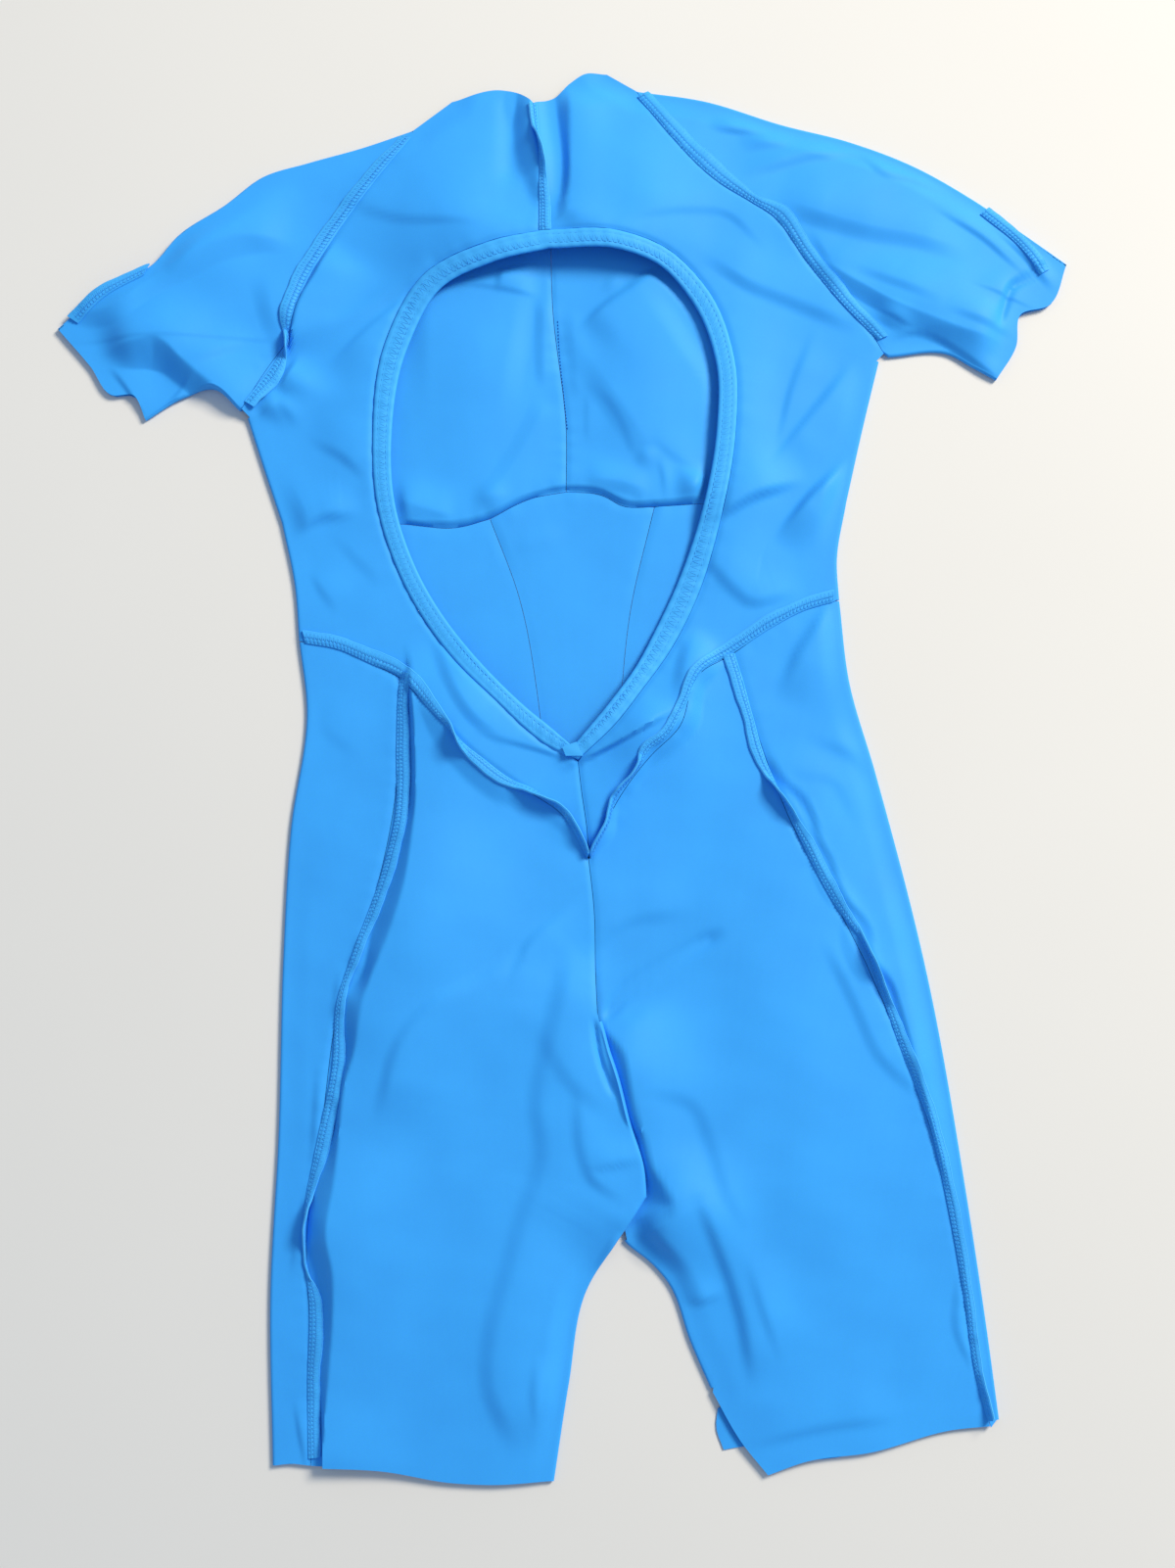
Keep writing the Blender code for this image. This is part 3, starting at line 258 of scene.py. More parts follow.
# ---- The lines of the pattern as they lie on the floor. Columns: x, y ----
LINES = {
    # upper body, left
    "neck_left": ((-18, 384), (-26, 391), (-36, 393), (-66, 386)),
    "shoulder_left": ((-66, 386), (-88, 369)),
    "raglan_left": ((-88, 369), (-113, 336), (-135, 303), (-154, 270), (-161, 240),
                    (-169, 228), (-186, 199)),
    "side_upper_left": ((-183, 194), (-173, 164), (-162, 132)),
    "side_lower_left": ((-162, 132), (-154, 95), (-151, 63)),
    "arm_upper_left": ((-88, 369), (-119, 358), (-150, 349), (-177, 340), (-199, 322),
                       (-225, 304), (-241, 285), (-270, 271), (-295, 248)),
    "arm_lower_left": ((-187, 198), (-203, 211), (-221, 206), (-242, 193)),
    "cuff_left": ((-295, 248), (-275, 225), (-262, 208), (-250, 208), (-242, 193)),
    # upper body, right
    "neck_right": ((-17, 384), (-5, 388), (4, 397), (13, 403), (26, 403)),
    "shoulder_right": ((26, 403), (43, 393)),
    "raglan_right": ((43, 393), (61, 367), (92, 335), (124, 315), (146, 284), (175, 253),
                     (187, 233)),
    "side_upper_right": ((184, 228), (174, 188), (164, 145)),
    "side_lower_right": ((164, 145), (158, 110), (159, 87)),
    "arm_upper_right": ((43, 393), (83, 387), (130, 372), (168, 362), (206, 347),
                        (240, 327), (268, 307), (295, 287)),
    "arm_lower_right": ((189, 231), (226, 232), (238, 225), (252, 217)),
    "cuff_right": ((295, 287), (284, 262), (267, 256), (264, 237), (252, 217)),
    # centre back and keyhole
    "centre_neck": ((-17, 384), (-15, 363), (-12, 340), (-12, 307)),
    "hole_left": ((-8, 292), (-41, 284), (-70, 271), (-90, 236), (-99, 182), (-97, 145),
                  (-84, 105), (-52, 56), (-20, 23.5), (-7, 13), (6, 1.5)),
    "hole_right": ((-8, 292), (34, 291), (57, 283), (74, 265), (89, 225), (89, 188),
                   (80, 138), (66, 97), (53, 69), (42, 48), (27, 27), (6, 1.5)),
    "bound_left": ((-12, 303), (-43, 296), (-82, 278), (-103, 240), (-110, 182), (-107, 142),
                   (-93, 100), (-60, 49.5), (-34, 24), (-23, 13.5), (-10, 3), (9, -6)),
    "bound_right": ((-12, 303), (34, 302), (63, 292), (84, 271), (100, 226), (100, 186),
                    (91, 134), (77, 88), (62, 58), (46, 35), (30, 14), (9, -6)),
    "centre_low": ((9, -7), (11, -24), (14, -45), (15, -58.5)),
    # waist seam and legs
    "waist_outer_left": ((-151, 63), (-130, 59), (-109, 50), (-93, 42)),
    "waist_inner_left": ((-93, 42), (-74, 22), (-50, -2), (-22, -22), (0, -37), (11, -52),
                         (15, -62)),
    "waist_outer_right": ((159, 87), (138, 81), (121, 72), (98, 56)),
    "waist_inner_right": ((98, 56), (77, 42), (66, 12), (50, -4), (32, -28), (21, -50),
                          (15, -62)),
    "leg_side_left": ((-151, 63), (-146, 24), (-154, -45), (-157, -116), (-158, -217),
                      (-161, -302), (-158, -394)),
    "leg_side_right": ((159, 87), (164, 40), (178, -12), (206, -130), (225, -249),
                       (235, -325), (240, -368)),
    "panel_left": ((-93, 42), (-94, -20), (-106, -85), (-126, -150), (-134, -217),
                   (-141, -270), (-138, -330), (-137, -394)),
    "panel_right": ((98, 56), (108, 20), (127, -35), (159, -97), (186, -157), (205, -211),
                    (220, -286), (226, -334), (235, -373)),
    "centre_seat": ((15, -62), (18, -90), (19, -130), (20, -150)),
    "flap_edge": ((21, -153), (32, -184), (38, -208), (46, -235), (47, -249)),
    "flap_turn": ((47, -249), (40, -260), (31, -273)),
    "inner_leg_left": ((31, -273), (14, -300), (4, -351), (-4, -402)),
    "under_flap": ((20, -150), (24, -185), (28, -225), (35, -268)),
    "inner_leg_right": ((36, -273), (60, -298), (71, -328), (82, -353)),
    "turned_hem_right": ((82, -353), (99, -382), (113, -399)),
    "hem_side_left": ((-137, -394), (-148, -393), (-158, -394)),
    "hem_left": ((-137, -394), (-100, -396), (-60, -403), (-39, -404), (-4, -402)),
    "hem_side_right": ((235, -374), (240, -368)),
    "hem_right": ((235, -373), (215, -375), (169, -387), (133, -392), (113, -399)),
    # front, seen through the keyhole
    "front_neck_left": ((-7, 346), (-45, 356), (-88, 369)),
    "front_neck_right": ((-7, 346), (20, 362), (43, 393)),
    "front_centre": ((-7, 346), (-6, 260), (2, 186), (2, 151)),
    "underbust_inner_left": ((2, 151), (-18, 147), (-42, 135)),
    "underbust_outer_left": ((-42, 135), (-60, 130), (-93, 132), (-141, 134)),
    "underbust_inner_right": ((2, 151), (22, 149), (36, 142), (53, 142)),
    "underbust_outer_right": ((53, 142), (82, 144), (143, 146)),
    "princess_left": ((-42, 135), (-25, 89), (-14, 30), (-8, -37)),
    "princess_right": ((53, 142), (39, 81), (33, 20), (31, -34)),
    "front_point_left": ((-8, -37), (15, -62)),
    "front_point_right": ((31, -34), (15, -62)),
    "front_waist_left": ((-8, -37), (-30, -10), (-70, 35), (-105, 63)),
    "front_waist_right": ((31, -34), (45, -5), (70, 36), (113, 87)),
    "front_centre_leg": ((15, -62), (20, -150), (25, -225), (27, -258)),
    "front_strip_right": ((86, -364), (85, -374), (89, -386)),
    "front_hem_right": ((89, -386), (102, -384), (133, -391), (191, -381)),
    "front_hem_left": ((2, -402), (-50, -402), (-114, -394)),
}

# ---- The relief of the two layers ----
# Broad rises of the cloth. Columns: x, y, reach along x, reach along y, height
BACK_RISES = (
    (-58, 318, 42, 46, 9),
    (38, 326, 46, 52, 11),
    (-12, 298, 60, 20, 7),
    (98, 190, 26, 70, 6),
    (-108, 190, 26, 70, 3),
    (-50, 30, 40, 34, 4),
    (48, 18, 38, 34, 5),
    (-62, -170, 60, 130, 6),
    (128, -190, 50, 130, 6),
    (-20, -320, 46, 60, 4),
    (-205, 285, 44, 34, 5),
    (150, 330, 70, 30, 5),
    (225, 270, 36, 30, 5),
)
FRONT_RISES = (
    (-52, 205, 34, 60, 3),
    (48, 200, 34, 60, 4),
)

# Folds. Columns: the run of the fold, height, reach left of the run, reach right of the run
BACK_FOLDS = (
    (((-30, 396), (-31, 360), (-30, 330)), -2, 7, 7),
    (((18, -149), (19, -162), (22, -176), (26, -187), (30, -196)), -2, 1.6, 1.6),
    (((20, -156), (27, -147), (35, -137), (46, -129), (60, -121), (76, -111), (93, -102)),
     -3.4, 3.2, 3.2),
    (((-74, 287), (-100, 270), (-129, 252), (-151, 248)), 0.9, 5, 5),
    (((284, 286), (272, 279), (262, 272), (257, 259), (253, 246)), -2.0, 2.4, 2.4),
)
FLAP_FOLDS = (
    (((16, -112), (23, -156), (34, -190), (44, -228), (45, -249), (34, -272), (20, -296)),
     5.6, 6, 44),
)
FRONT_FOLDS = (
    (((-92, 240), (-45, 240), (-18, 236)), 2, 40, 30),
    (((20, 200), (50, 220), (80, 240)), 2, 40, 40),
)

# Creases: the cloth steps up across the run, steeply, and sinks again softly beyond it.
# Columns: the middle of the steep side, height, width of the steep side, reach of the soft side.
# A negative width turns the crease round.
BACK_CREASES = (
    # left leg
    (((1, -91), (-19, -109), (-27, -125)), 0.8, 8, 22),
    (((-27, -116), (-47, -129), (-74, -143), (-90, -162), (-101, -198)), 0.9, 12, 30),
    (((1, -121), (-4, -146), (-9, -166), (-15, -197), (-12, -227), (-23, -261), (-30, -287),
      (-40, -324), (-41, -350), (-29, -379)), 1.2, 13, 18),
    (((-9, -166), (4, -187), (20, -200)), 1.0, 10, 12),
    (((8, -197), (10, -224), (17, -241), (26, -247)), 1.3, 7, 12),
    (((20, -234), (31, -232), (42, -229)), 0.8, 5, 8),
    (((-15, -340), (-16, -355), (-15, -368)), 0.7, 5, 8),
    (((-6, -342), (-9, -365)), 0.6, 5, 8),
    (((-114, -105), (-120, -125)), 0.8, 5, 10),
    (((-126, -130), (-128, -151)), 0.8, 5, 8),
    (((-137, -184), (-139, -227)), 0.6, 5, 8),
    (((-143, -251), (-147, -270), (-149, -283)), 0.8, 5, 8),
    (((-146, -365), (-141, -391)), 0.8, 4, 6),
    # right leg
    (((21, -111), (36, -99), (64, -93)), 0.7, 10, 20),
    (((53, -193), (72, -199), (82, -220), (90, -246), (97, -260)), 1.2, 9, 18),
    (((76, -253), (89, -286), (98, -314), (103, -342)), 2.0, 8, 14),
    (((104, -291), (111, -313), (117, -330)), 1.0, 6, 12),
    (((60, -297), (70, -307), (85, -304)), 1.6, 3.5, 8),
    (((150, -116), (163, -143), (177, -173), (194, -190)), 1.2, 8, 16),
    (((220, -291), (217, -323), (226, -342)), 0.8, 6, 8),
    (((111, -382), (138, -375), (176, -370)), 0.8, 8, 20),
    # left of the body
    (((-121, 321), (-99, 313), (-57, 308)), 0.9, 6, 16),
    (((-92, 266), (-109, 252), (-130, 232)), 0.7, 8, 14),
    (((-166, 205), (-156, 192)), 0.8, 6, 10),
    (((-142, 178), (-129, 171), (-117, 161)), 1.2, 6, 14),
    (((-151, 127), (-139, 134), (-124, 136)), 1.4, 7, 14),
    (((-129, 120), (-108, 99)), 0.6, 8, 16),
    (((-144, 99), (-132, 83)), 0.7, 6, 12),
    (((-72, 58), (-63, 35), (-51, 17), (-40, 8)), 1.5, 8, 14),
    (((-39, 6), (-19, 1), (1, -5)), 0.9, 4, 8),
    (((-139, 13), (-119, -2)), 0.5, 8, 16),
    # right of the body
    (((45, 311), (72, 316), (98, 314), (110, 303)), 0.6, 6, 14),
    (((90, 284), (109, 272), (127, 265), (164, 250)), 1.6, 9, 18),
    (((142, 237), (132, 211), (126, 187)), 0.6, 6, 10),
    (((162, 220), (143, 196), (126, 175)), 0.9, 7, 12),
    (((89, 133), (108, 145), (130, 153)), 1.8, 8, 14),
    (((129, 132), (145, 151), (163, 167)), 1.8, 8, 12),
    (((82, 111), (96, 94), (108, 85), (127, 89)), 1.4, 8, 14),
    (((71, 63), (67, 49), (65, 34)), 1.2, 9, 10),
    (((9, -8), (31, 3), (60, 19)), 1.8, 4, 12),
    (((157, 91), (144, 72), (135, 58), (127, 41)), 1.4, 9, 14),
    (((146, 4), (160, -1), (173, -10)), 1.0, 8, 12),
    (((133, -14), (154, -19), (164, -38)), 0.5, 6, 12),
    # left sleeve
    (((-280, 239), (-226, 241), (-169, 240)), 0.3, 2.5, 14),
    (((-177, 272), (-173, 254), (-167, 240)), 1.3, 12, 16),
    (((-210, 227), (-186, 237)), 0.5, 8, 10),
    # right sleeve
    (((93, 368), (116, 366)), 1.6, 6, 8),
    (((112, 356), (136, 360)), 1.0, 8, 12),
    (((116, 341), (151, 351), (178, 351), (186, 342), (203, 338), (222, 331)), 1.2, 7, 10),
    (((134, 317), (158, 309), (181, 303), (204, 299), (226, 293)), 1.6, 12, 14),
    (((146, 302), (155, 285)), 1.0, 7, 10),
    (((175, 281), (192, 274), (211, 266)), 1.0, 7, 12),
    (((225, 315), (245, 302), (263, 285)), 1.0, 4, 10),
    (((256, 305), (267, 294), (280, 278)), 2.2, 5, 6),
    (((242, 272), (269, 262)), 0.4, 2.5, 8),
    (((229, 255), (256, 245)), 0.9, 6, 8),
)
# Slopes. Columns: the lines, height, soft reach beyond the crest.
# Columns of the lines: x, y of the foot; x, y from there to the crest
BACK_SLOPES = (
    # the left leg's crest along its side seam
    (((-89, 60, 1, 0), (-88, 36, 2, 0), (-87, 15, 3, 0), (-86, -13, 3, 0), (-87, -34, 4, 0),
      (-90, -44, 6, 0), (-98, -74, 10, 0), (-107, -102, 11, 0), (-114, -130, 7, 0),
      (-122, -138, 12, 0), (-122, -154, 9, 0), (-120, -168, 5, 0), (-123, -184, 3, 0),
      (-130, -225, 6, 0), (-137, -238, 12, 0), (-142, -270, 13, 0), (-137, -291, 12, 0),
      (-133, -307, 8, 0), (-134, -344, 7, 0), (-132, -365, 3, 0), (-131, -384, 1, 0),
      (-131, -420, 1, 0)), 5.5, 45),
    # the right leg beside the flap, and under its point
    (((20, -148, 1, 0), (22, -158, 2, 1), (25, -173, 10, 2), (30, -192, 8, 5), (34, -206, 8, 0),
      (41, -218, 5, -1), (43, -227, 7, -6), (45, -238, 13, -7), (46, -248, 16, -5),
      (39, -257, 15, -5), (33, -268, 3, -2)), 6, 28),
    # the body beside the left raglan
    (((-136, 300, 2, 0), (-140, 293, 2, 0), (-148, 279, 3, -1), (-154, 267, 2, -1),
      (-159, 252, 2, 0), (-159, 243, 1, 0), (-158, 230, 1, 0)), 4.5, 24),
    # both sides of the centre back
    (((-29, 395, 9, 0), (-30, 375, 11, -3), (-29, 360, 12, 0), (-26, 345, 11, 5),
      (-21, 330, 7, 5), (-16, 318, 3, 0)), 3, 6),
    (((-4, 395, 8, 0), (-4, 383, 8, 1), (-2, 366, 6, 6), (0, 351, 4, 3), (0, 336, 4, 0),
      (-2, 322, 4, 0), (-7, 311, 3, 0), (-9, 306, 3, 0)), 4.2, 20),
    # under the left and the right waist
    (((-88, 36, 2, 4), (-82, 25, 3, 9), (-75, 8, 5, 11), (-65, -6, 7, 12), (-53, -19, 5, 9),
      (-39, -29, 3, 10), (-22, -34, -2, 12), (-7, -42, -4, 16), (6, -53, -4, 16),
      (13, -64, 0, 6)), 2, 60),
    (((96, 50, -4, 4), (83, 37, -9, 4), (77, 12, -8, 6), (65, -1, -6, 11), (50, -10, -4, 9),
      (42, -22, 2, 14), (32, -33, 2, 12), (30, -47, -5, 14), (19, -63, -3, 3)), 3.4, 16),
    # both sides of the right side seam
    (((112, 0, 4, 2), (124, -19, 3, 2), (133, -27, 3, 2), (140, -38, 3, 0), (143, -52, 4, 0),
      (149, -63, 4, 0), (153, -77, 4, 1), (159, -88, 4, 1), (165, -95, 5, 1), (169, -102, 6, -2),
      (170, -113, 5, -2), (172, -123, 6, 2), (180, -130, 4, 2), (188, -151, 4, 0),
      (194, -176, 4, 1), (201, -200, 3, 1), (208, -227, 3, 1), (215, -251, 3, 0),
      (222, -300, 3, 0), (228, -340, 3, 0), (233, -375, 3, 0), (236, -400, 3, 0)), 2.6, 24),
    (((112, -19, 7, 6), (123, -35, 6, 5), (132, -49, 6, 4), (139, -66, 4, 6), (146, -83, 5, 8),
      (156, -95, 5, 4), (156, -108, 12, 3), (161, -124, 9, 5), (171, -138, 7, 7)), 1.5, 5),
)
# Those that reach the rolled edges at full height
EDGE_SLOPES = (
    # two pockets at the lower end of the left raglan
    (((-156, 232, 2, -2), (-159, 227, 3, -2), (-164, 220, 4, -2), (-170, 213, 7, -1),
      (-173, 210, 7, -2)), 4.4, 22),
    (((-170, 214, 2, -2), (-172, 211, 3, -2), (-175, 206, 4, -2), (-178, 201, 5, -2),
      (-180, 197, 5, -2)), 4.4, 14),
    # the right sleeve's lower roll, the pocket under it and the fold of its cuff
    (((146, 284, 3, 7), (160, 273, 2, 8), (175, 263, 2, 9), (187, 256, 3, 8), (200, 248, 4, 9),
      (212, 244, 6, 7), (224, 237, 7, 9), (235, 229, 9, 13), (247, 221, 10, 17)), 3, 24),
    (((180, 254, 1, 6), (189, 248, 3, 7), (200, 245, 5, 3)), 2.6, 4),
    (((189, 238, 2, 4), (203, 243, 0, 3), (218, 239, 1, 3), (229, 232, 2, 3), (243, 222, 2, 3),
      (254, 214, 2, 3)), 1.6, 6),
    (((257, 258, -3, 2), (262, 271, -3, 3), (272, 276, -2, 4), (284, 283, -2, 4)), 1.6, 10),
    # the left cuff's opening: its upper fold, its left fold and its lower fold
    (((-268, 226, 0, 6), (-259, 224, -1, 11), (-250, 223, -2, 14), (-241, 223, -2, 16),
      (-233, 221, -3, 19), (-226, 216, -3, 20), (-217, 209, -5, 20), (-206, 202, -7, 19),
      (-193, 195, -5, 14), (-182, 191, 3, 3)), 4.6, 24),
    (((-267, 225, 3, 1), (-259, 216, 3, 1), (-249, 203, 2, 1), (-243, 195, 2, 1)), 1.4, 14),
    (((-243, 198, 2, -3), (-232, 203, 2, -4), (-223, 212, 2, -2), (-214, 223, 2, -3)), 1.4, 3),
    (((-288, 251, -4, 6), (-275, 248, -2, 9), (-261, 249, -3, 10), (-251, 254, -4, 10),
      (-242, 262, -5, 9), (-231, 269, -5, 10), (-216, 277, -5, 11), (-203, 284, -2, 13),
      (-190, 289, 0, 13), (-176, 292, 1, 10), (-160, 293, 2, 6)), 2.1, 28),
)
FRONT_SLOPES = (
    # the fold across the left chest, and the crumple above it
    (((-86, 274, 0, 3), (-60, 274, 0, 3), (-40, 271, 1, 3), (-14, 266, 0, 3)), 1.3, 8),
    (((-41, 270, 4, 0), (-39, 284, 4, 0), (-36, 300, 4, 0)), 2.4, 12),
    (((-76, 279, 1, 5), (-60, 281, 0, 5), (-44, 280, 0, 5)), 1, 6),
    (((-17, 288, -1, 3), (-12, 289, -2, 4), (-8, 295, -2, 4)), 1.2, 5),
    # the fold across the right chest
    (((60, 293, 4, -3), (53, 288, 4, -3), (37, 275, 3, -4), (25, 266, 2, -4), (15, 257, 2, -4),
      (9, 251, 2, -4)), 3, 22),
    (((20, 272, 4, -2), (24, 277, 4, -2), (30, 284, 4, -3)), 0.8, 4),
    # beside the centre front seam
    (((-17, 269, 6, 0), (-17, 243, 6, 0), (-16, 212, 5, 0)), 1.1, 5),
    (((-1, 261, 6, 0), (1, 234, 6, 0), (4, 206, 5, 0)), 0.6, 7),
    # the soft folds above the bust seam
    (((-17, 209, 8, -3), (-26, 188, 7, -4), (-40, 164, 8, -2), (-59, 140, 9, 0)), 0.7, 14),
    (((14, 213, 5, 3), (25, 202, 4, 2), (33, 188, 4, 1), (40, 167, 4, 1)), 0.45, 7),
    (((12, 212, 3, 0), (12, 195, 3, 0), (12, 178, 3, 0)), 0.4, 5),
    (((40, 170, 4, -5), (46, 177, 2, -6), (51, 178, 4, -4)), 1.3, 5),
    (((53, 172, 3, 0), (56, 160, 3, 0), (57, 146, 3, 0)), 0.9, 4),
    # the bust seam's edge
    (((-110, 133, 0, 2), (-94, 132, 0, 2), (-76, 131, 0, 2), (-60, 131, 0, 2), (-42, 136, 0, 2),
      (-20, 147, 0, 2), (2, 152, 0, 2), (22, 150, 0, 2), (37, 143, 0, 2), (57, 143, 0, 2),
      (78, 145, 0, 2), (110, 147, 0, 2)), 2.2, 16),
    (((-99, 135, 0, 12), (-76, 134, 0, 6), (-62, 134, 0, 2)), 1.4, 12),
    (((-57, 136, 4, 11), (-42, 139, 1, 9), (-28, 144, 0, 5)), 1.2, 8),
    (((11, 153, 0, 5), (31, 150, 0, 7), (51, 144, 0, 6)), 1.4, 8),
    (((68, 142, -3, 7), (78, 146, -3, 7), (88, 155, -4, 9)), 3.2, 10),
    # below the bust seam
    (((-33, 121, 3, -4), (-25, 128, 5, -7), (-10, 133, 11, -4)), 0.6, 8),
)
FRONT_CREASES = (
    (((55, 179), (65, 170), (78, 164)), 0.5, 6, 8),
)

# Overlocked seam allowances. Columns: x, y of the needle line; x, y from there to the free edge
ALLOWANCES = {
    "allowance_centre_back": (
        (-16, 383, -4, 0), (-15, 368, -3, 0), (-14, 357, 0, 2), (-13.5, 345, 2.5, 0),
        (-13.5, 330, 4.5, 0), (-13.5, 303, 6.5, 0)),
    "allowance_raglan_left": (
        (-90, 364, -5, 1), (-113, 334, -7, 2), (-136, 301, -8, 1), (-151, 274, -7, 3),
        (-158, 251, -6, 2), (-160, 240, -1, 0), (-166, 229, 4, -5), (-184, 203, 5, -3)),
    "allowance_raglan_right": (
        (44, 389, 6, 3), (62, 365, 5, 6), (92, 334, 6, 6), (110, 323, 2, 4), (124, 314, 5, 6),
        (141, 291, 6, 3), (158, 268, 5, 5), (184, 241, 5, 2)),
    "allowance_waist_left": (
        (-147, 62, -2, 7), (-130, 59, -2, 7), (-109, 50, 2, 7), (-93, 43, 4, 5), (-76, 24, 2, 7),
        (-67, 15, 3, 0), (-54, 1, -2, -2), (-46, -5, -2, -5), (-28, -18, -2, -3),
        (-18, -22, -1, -2.5), (0, -36, 1, 2.5), (9, -50, 2, 2), (14, -61, 1, 2)),
    "allowance_waist_right": (
        (155, 86, 1, 7), (138, 81, 0, 6), (121, 72, -1, 7), (98, 57, -5, 4), (80, 46, -5, 2),
        (70, 26, -5, 0), (60, 8, -3, 3), (49, -1, -4, 2), (44, -9, -1, 1), (30, -29, -2, 1),
        (25, -44, -1.5, 0.5), (20, -53, -1, 1), (16, -61, -0.5, 2.5)),
    "allowance_side_left": (
        (-92, 45, 5, -1), (-93, 34, 5, -1), (-94, 0, 7, 0), (-94, -36, 6, 0), (-103, -75, 6, 0),
        (-116, -112, 4, -1), (-125, -140, 4, 2), (-128, -180, 6, 0), (-137, -226, 6, -2),
        (-142, -256, 2, 0), (-142, -280, 0, -4), (-139, -305, 6, 0), (-139, -350, 6, 0),
        (-138, -390, 6, 1)),
    "allowance_side_right": (
        (98, 56, -6, -1), (102, 43, -6, -1), (108, 20, -5, 0), (115, -5, -5, -1),
        (124, -26, 0, 0), (135, -51, 4, 3), (154, -88, 3, 5), (169, -109, 0, 3),
        (176, -128, 2, 1), (190, -169, 5, 1), (204, -206, 4, 2), (215, -257, 5, 0),
        (223, -308, 4, 0), (227, -340, 3, 2), (234, -370, 2, 1)),
    "allowance_overarm_left": (
        (-244, 279, 3, 6), (-268, 265, -2, 6), (-283, 251, -6, 4)),
    "allowance_overarm_right": (
        (245, 317, 5, 4), (264, 300, 5, 3), (279, 280, 5, 3)),
}
ALLOWANCE_SHEETS = {
    "allowance_centre_back": "back_bodice_left",
    **{f"allowance_{seam}_{hand}": f"{sheet}_{hand}" for hand in HANDS
       for seam, sheet in (("raglan", "back_bodice"), ("waist", "back_bodice"),
                           ("side", "back_leg"), ("overarm", "sleeve"))},
}


# ---- Lines and patches ----
def both(*names):
    """The names of the lines on the left, and then of those on the right."""
    return [f"{name}_{hand}" for hand in HANDS for name in names]


def step_lengths(run):
    """Distances between neighbouring points of a run."""
    return np.linalg.norm(np.diff(run, axis=0), axis=1)


def passed_along(run):
    """Distance passed along a run at each of its points."""
    return np.concatenate([[0.0], np.cumsum(step_lengths(run))])


def between(at, passed, run):
    """Points of a run at the given distances along it."""
    return np.stack([np.interp(at, passed, column) for column in run.T], axis=-1)


def unit(vectors):
    """The vectors, each made one long."""
    return vectors / np.maximum(np.linalg.norm(vectors, axis=-1), TINY)[..., None]


def towards(start, end):
    """Unit direction from one point to another."""
    return (end - start) / np.linalg.norm(end - start)


def smooth(points, count):
    """Evenly spaced points along a soft curve through the given points."""
    points = np.asarray(points, dtype=float)
    at = passed_along(points)
    slopes = np.gradient(points, at, axis=0)
    fine = np.linspace(0.0, at[-1], max(CURVE_STEPS * len(points), 3 * count))
    span = np.clip(np.searchsorted(at, fine, side="right") - 1, 0, len(points) - 2)
    width = (at[span + 1] - at[span])[:, None]
    t = (fine - at[span])[:, None] / width
    curve = ((2 * t**3 - 3 * t**2 + 1) * points[span] + (t**3 - 2 * t**2 + t) * width * slopes[span]
             + (3 * t**2 - 2 * t**3) * points[span + 1] + (t**3 - t**2) * width * slopes[span + 1])
    run = passed_along(curve)
    return between(np.linspace(0.0, run[-1], count), run, curve)


def two_lines(rows):
    """The first and the second line of a table whose rows say x, y and the way from there."""
    first, way = np.split(np.array(rows, dtype=float), 2, axis=1)
    return first, first + way


def line(name, steps):
    """A line of the pattern, in even steps."""
    return smooth(LINES[name], steps + 1)


def path(*legs, fine=FINE_LENGTH):
    """Points of several lines in a row. Each leg is a name and its count of coarse steps."""
    parts = [line(name, steps * fine)[:-1] for name, steps in legs]
    last = np.asarray(LINES[legs[-1][0]][-1:], dtype=float)
    return np.concatenate([*parts, last])


def square_to(edge):
    """Unit directions square to a line, on the right of its run."""
    along = np.gradient(edge, axis=0)
    return unit(np.stack([along[:, 1], -along[:, 0]], axis=1))


def outward(edge, inside):
    """Unit directions square to an edge line, pointing away from the points inside."""
    square = square_to(edge)
    side = np.sign(np.sum(square * (edge - inside), axis=1))
    return square * (1.0 if side.sum() >= 0 else -1.0)


def inset(edge, inside, distance=SEAM_GAP / 2):
    """The edge line moved towards the points inside, by half a seam gap unless told otherwise."""
    return edge - outward(edge, inside) * distance


def below(seam):
    """A panel's top edge under a seam that runs across."""
    return inset(seam, seam - UP_Y)


def above(seam):
    """A panel's bottom edge over a seam that runs across."""
    return inset(seam, seam + UP_Y)


def beside(seam, slack=SEAM_GAP / 2):
    """An edge on the body's side of a seam or outline at its left or right."""
    return inset(seam, seam * TOWARDS_MIDDLE, slack)


def corner(first, second):
    """The crossing of two edge lines, each given by its end point and the point before it."""
    along = first[0] - first[1]
    other = second[0] - second[1]
    apart = second[0] - first[0]
    cross = along[0] * other[1] - along[1] * other[0]
    share = (apart[0] * other[1] - apart[1] * other[0]) / cross
    if not np.abs(share) * np.linalg.norm(along) < CORNER_REACH:
        return (first[0] + second[0]) / 2
    return first[0] + along * share


def moved_ends(edge, start, end):
    """The line with its two ends moved, and the points near them drawn along."""
    passed = passed_along(edge)
    reach = min(END_REACH, passed[-1])
    near_start = np.clip(1 - passed / reach, 0, 1)[:, None]
    near_end = np.clip(1 - (passed[-1] - passed) / reach, 0, 1)[:, None]
    return edge + near_start * (start - edge[0]) + near_end * (end - edge[-1])


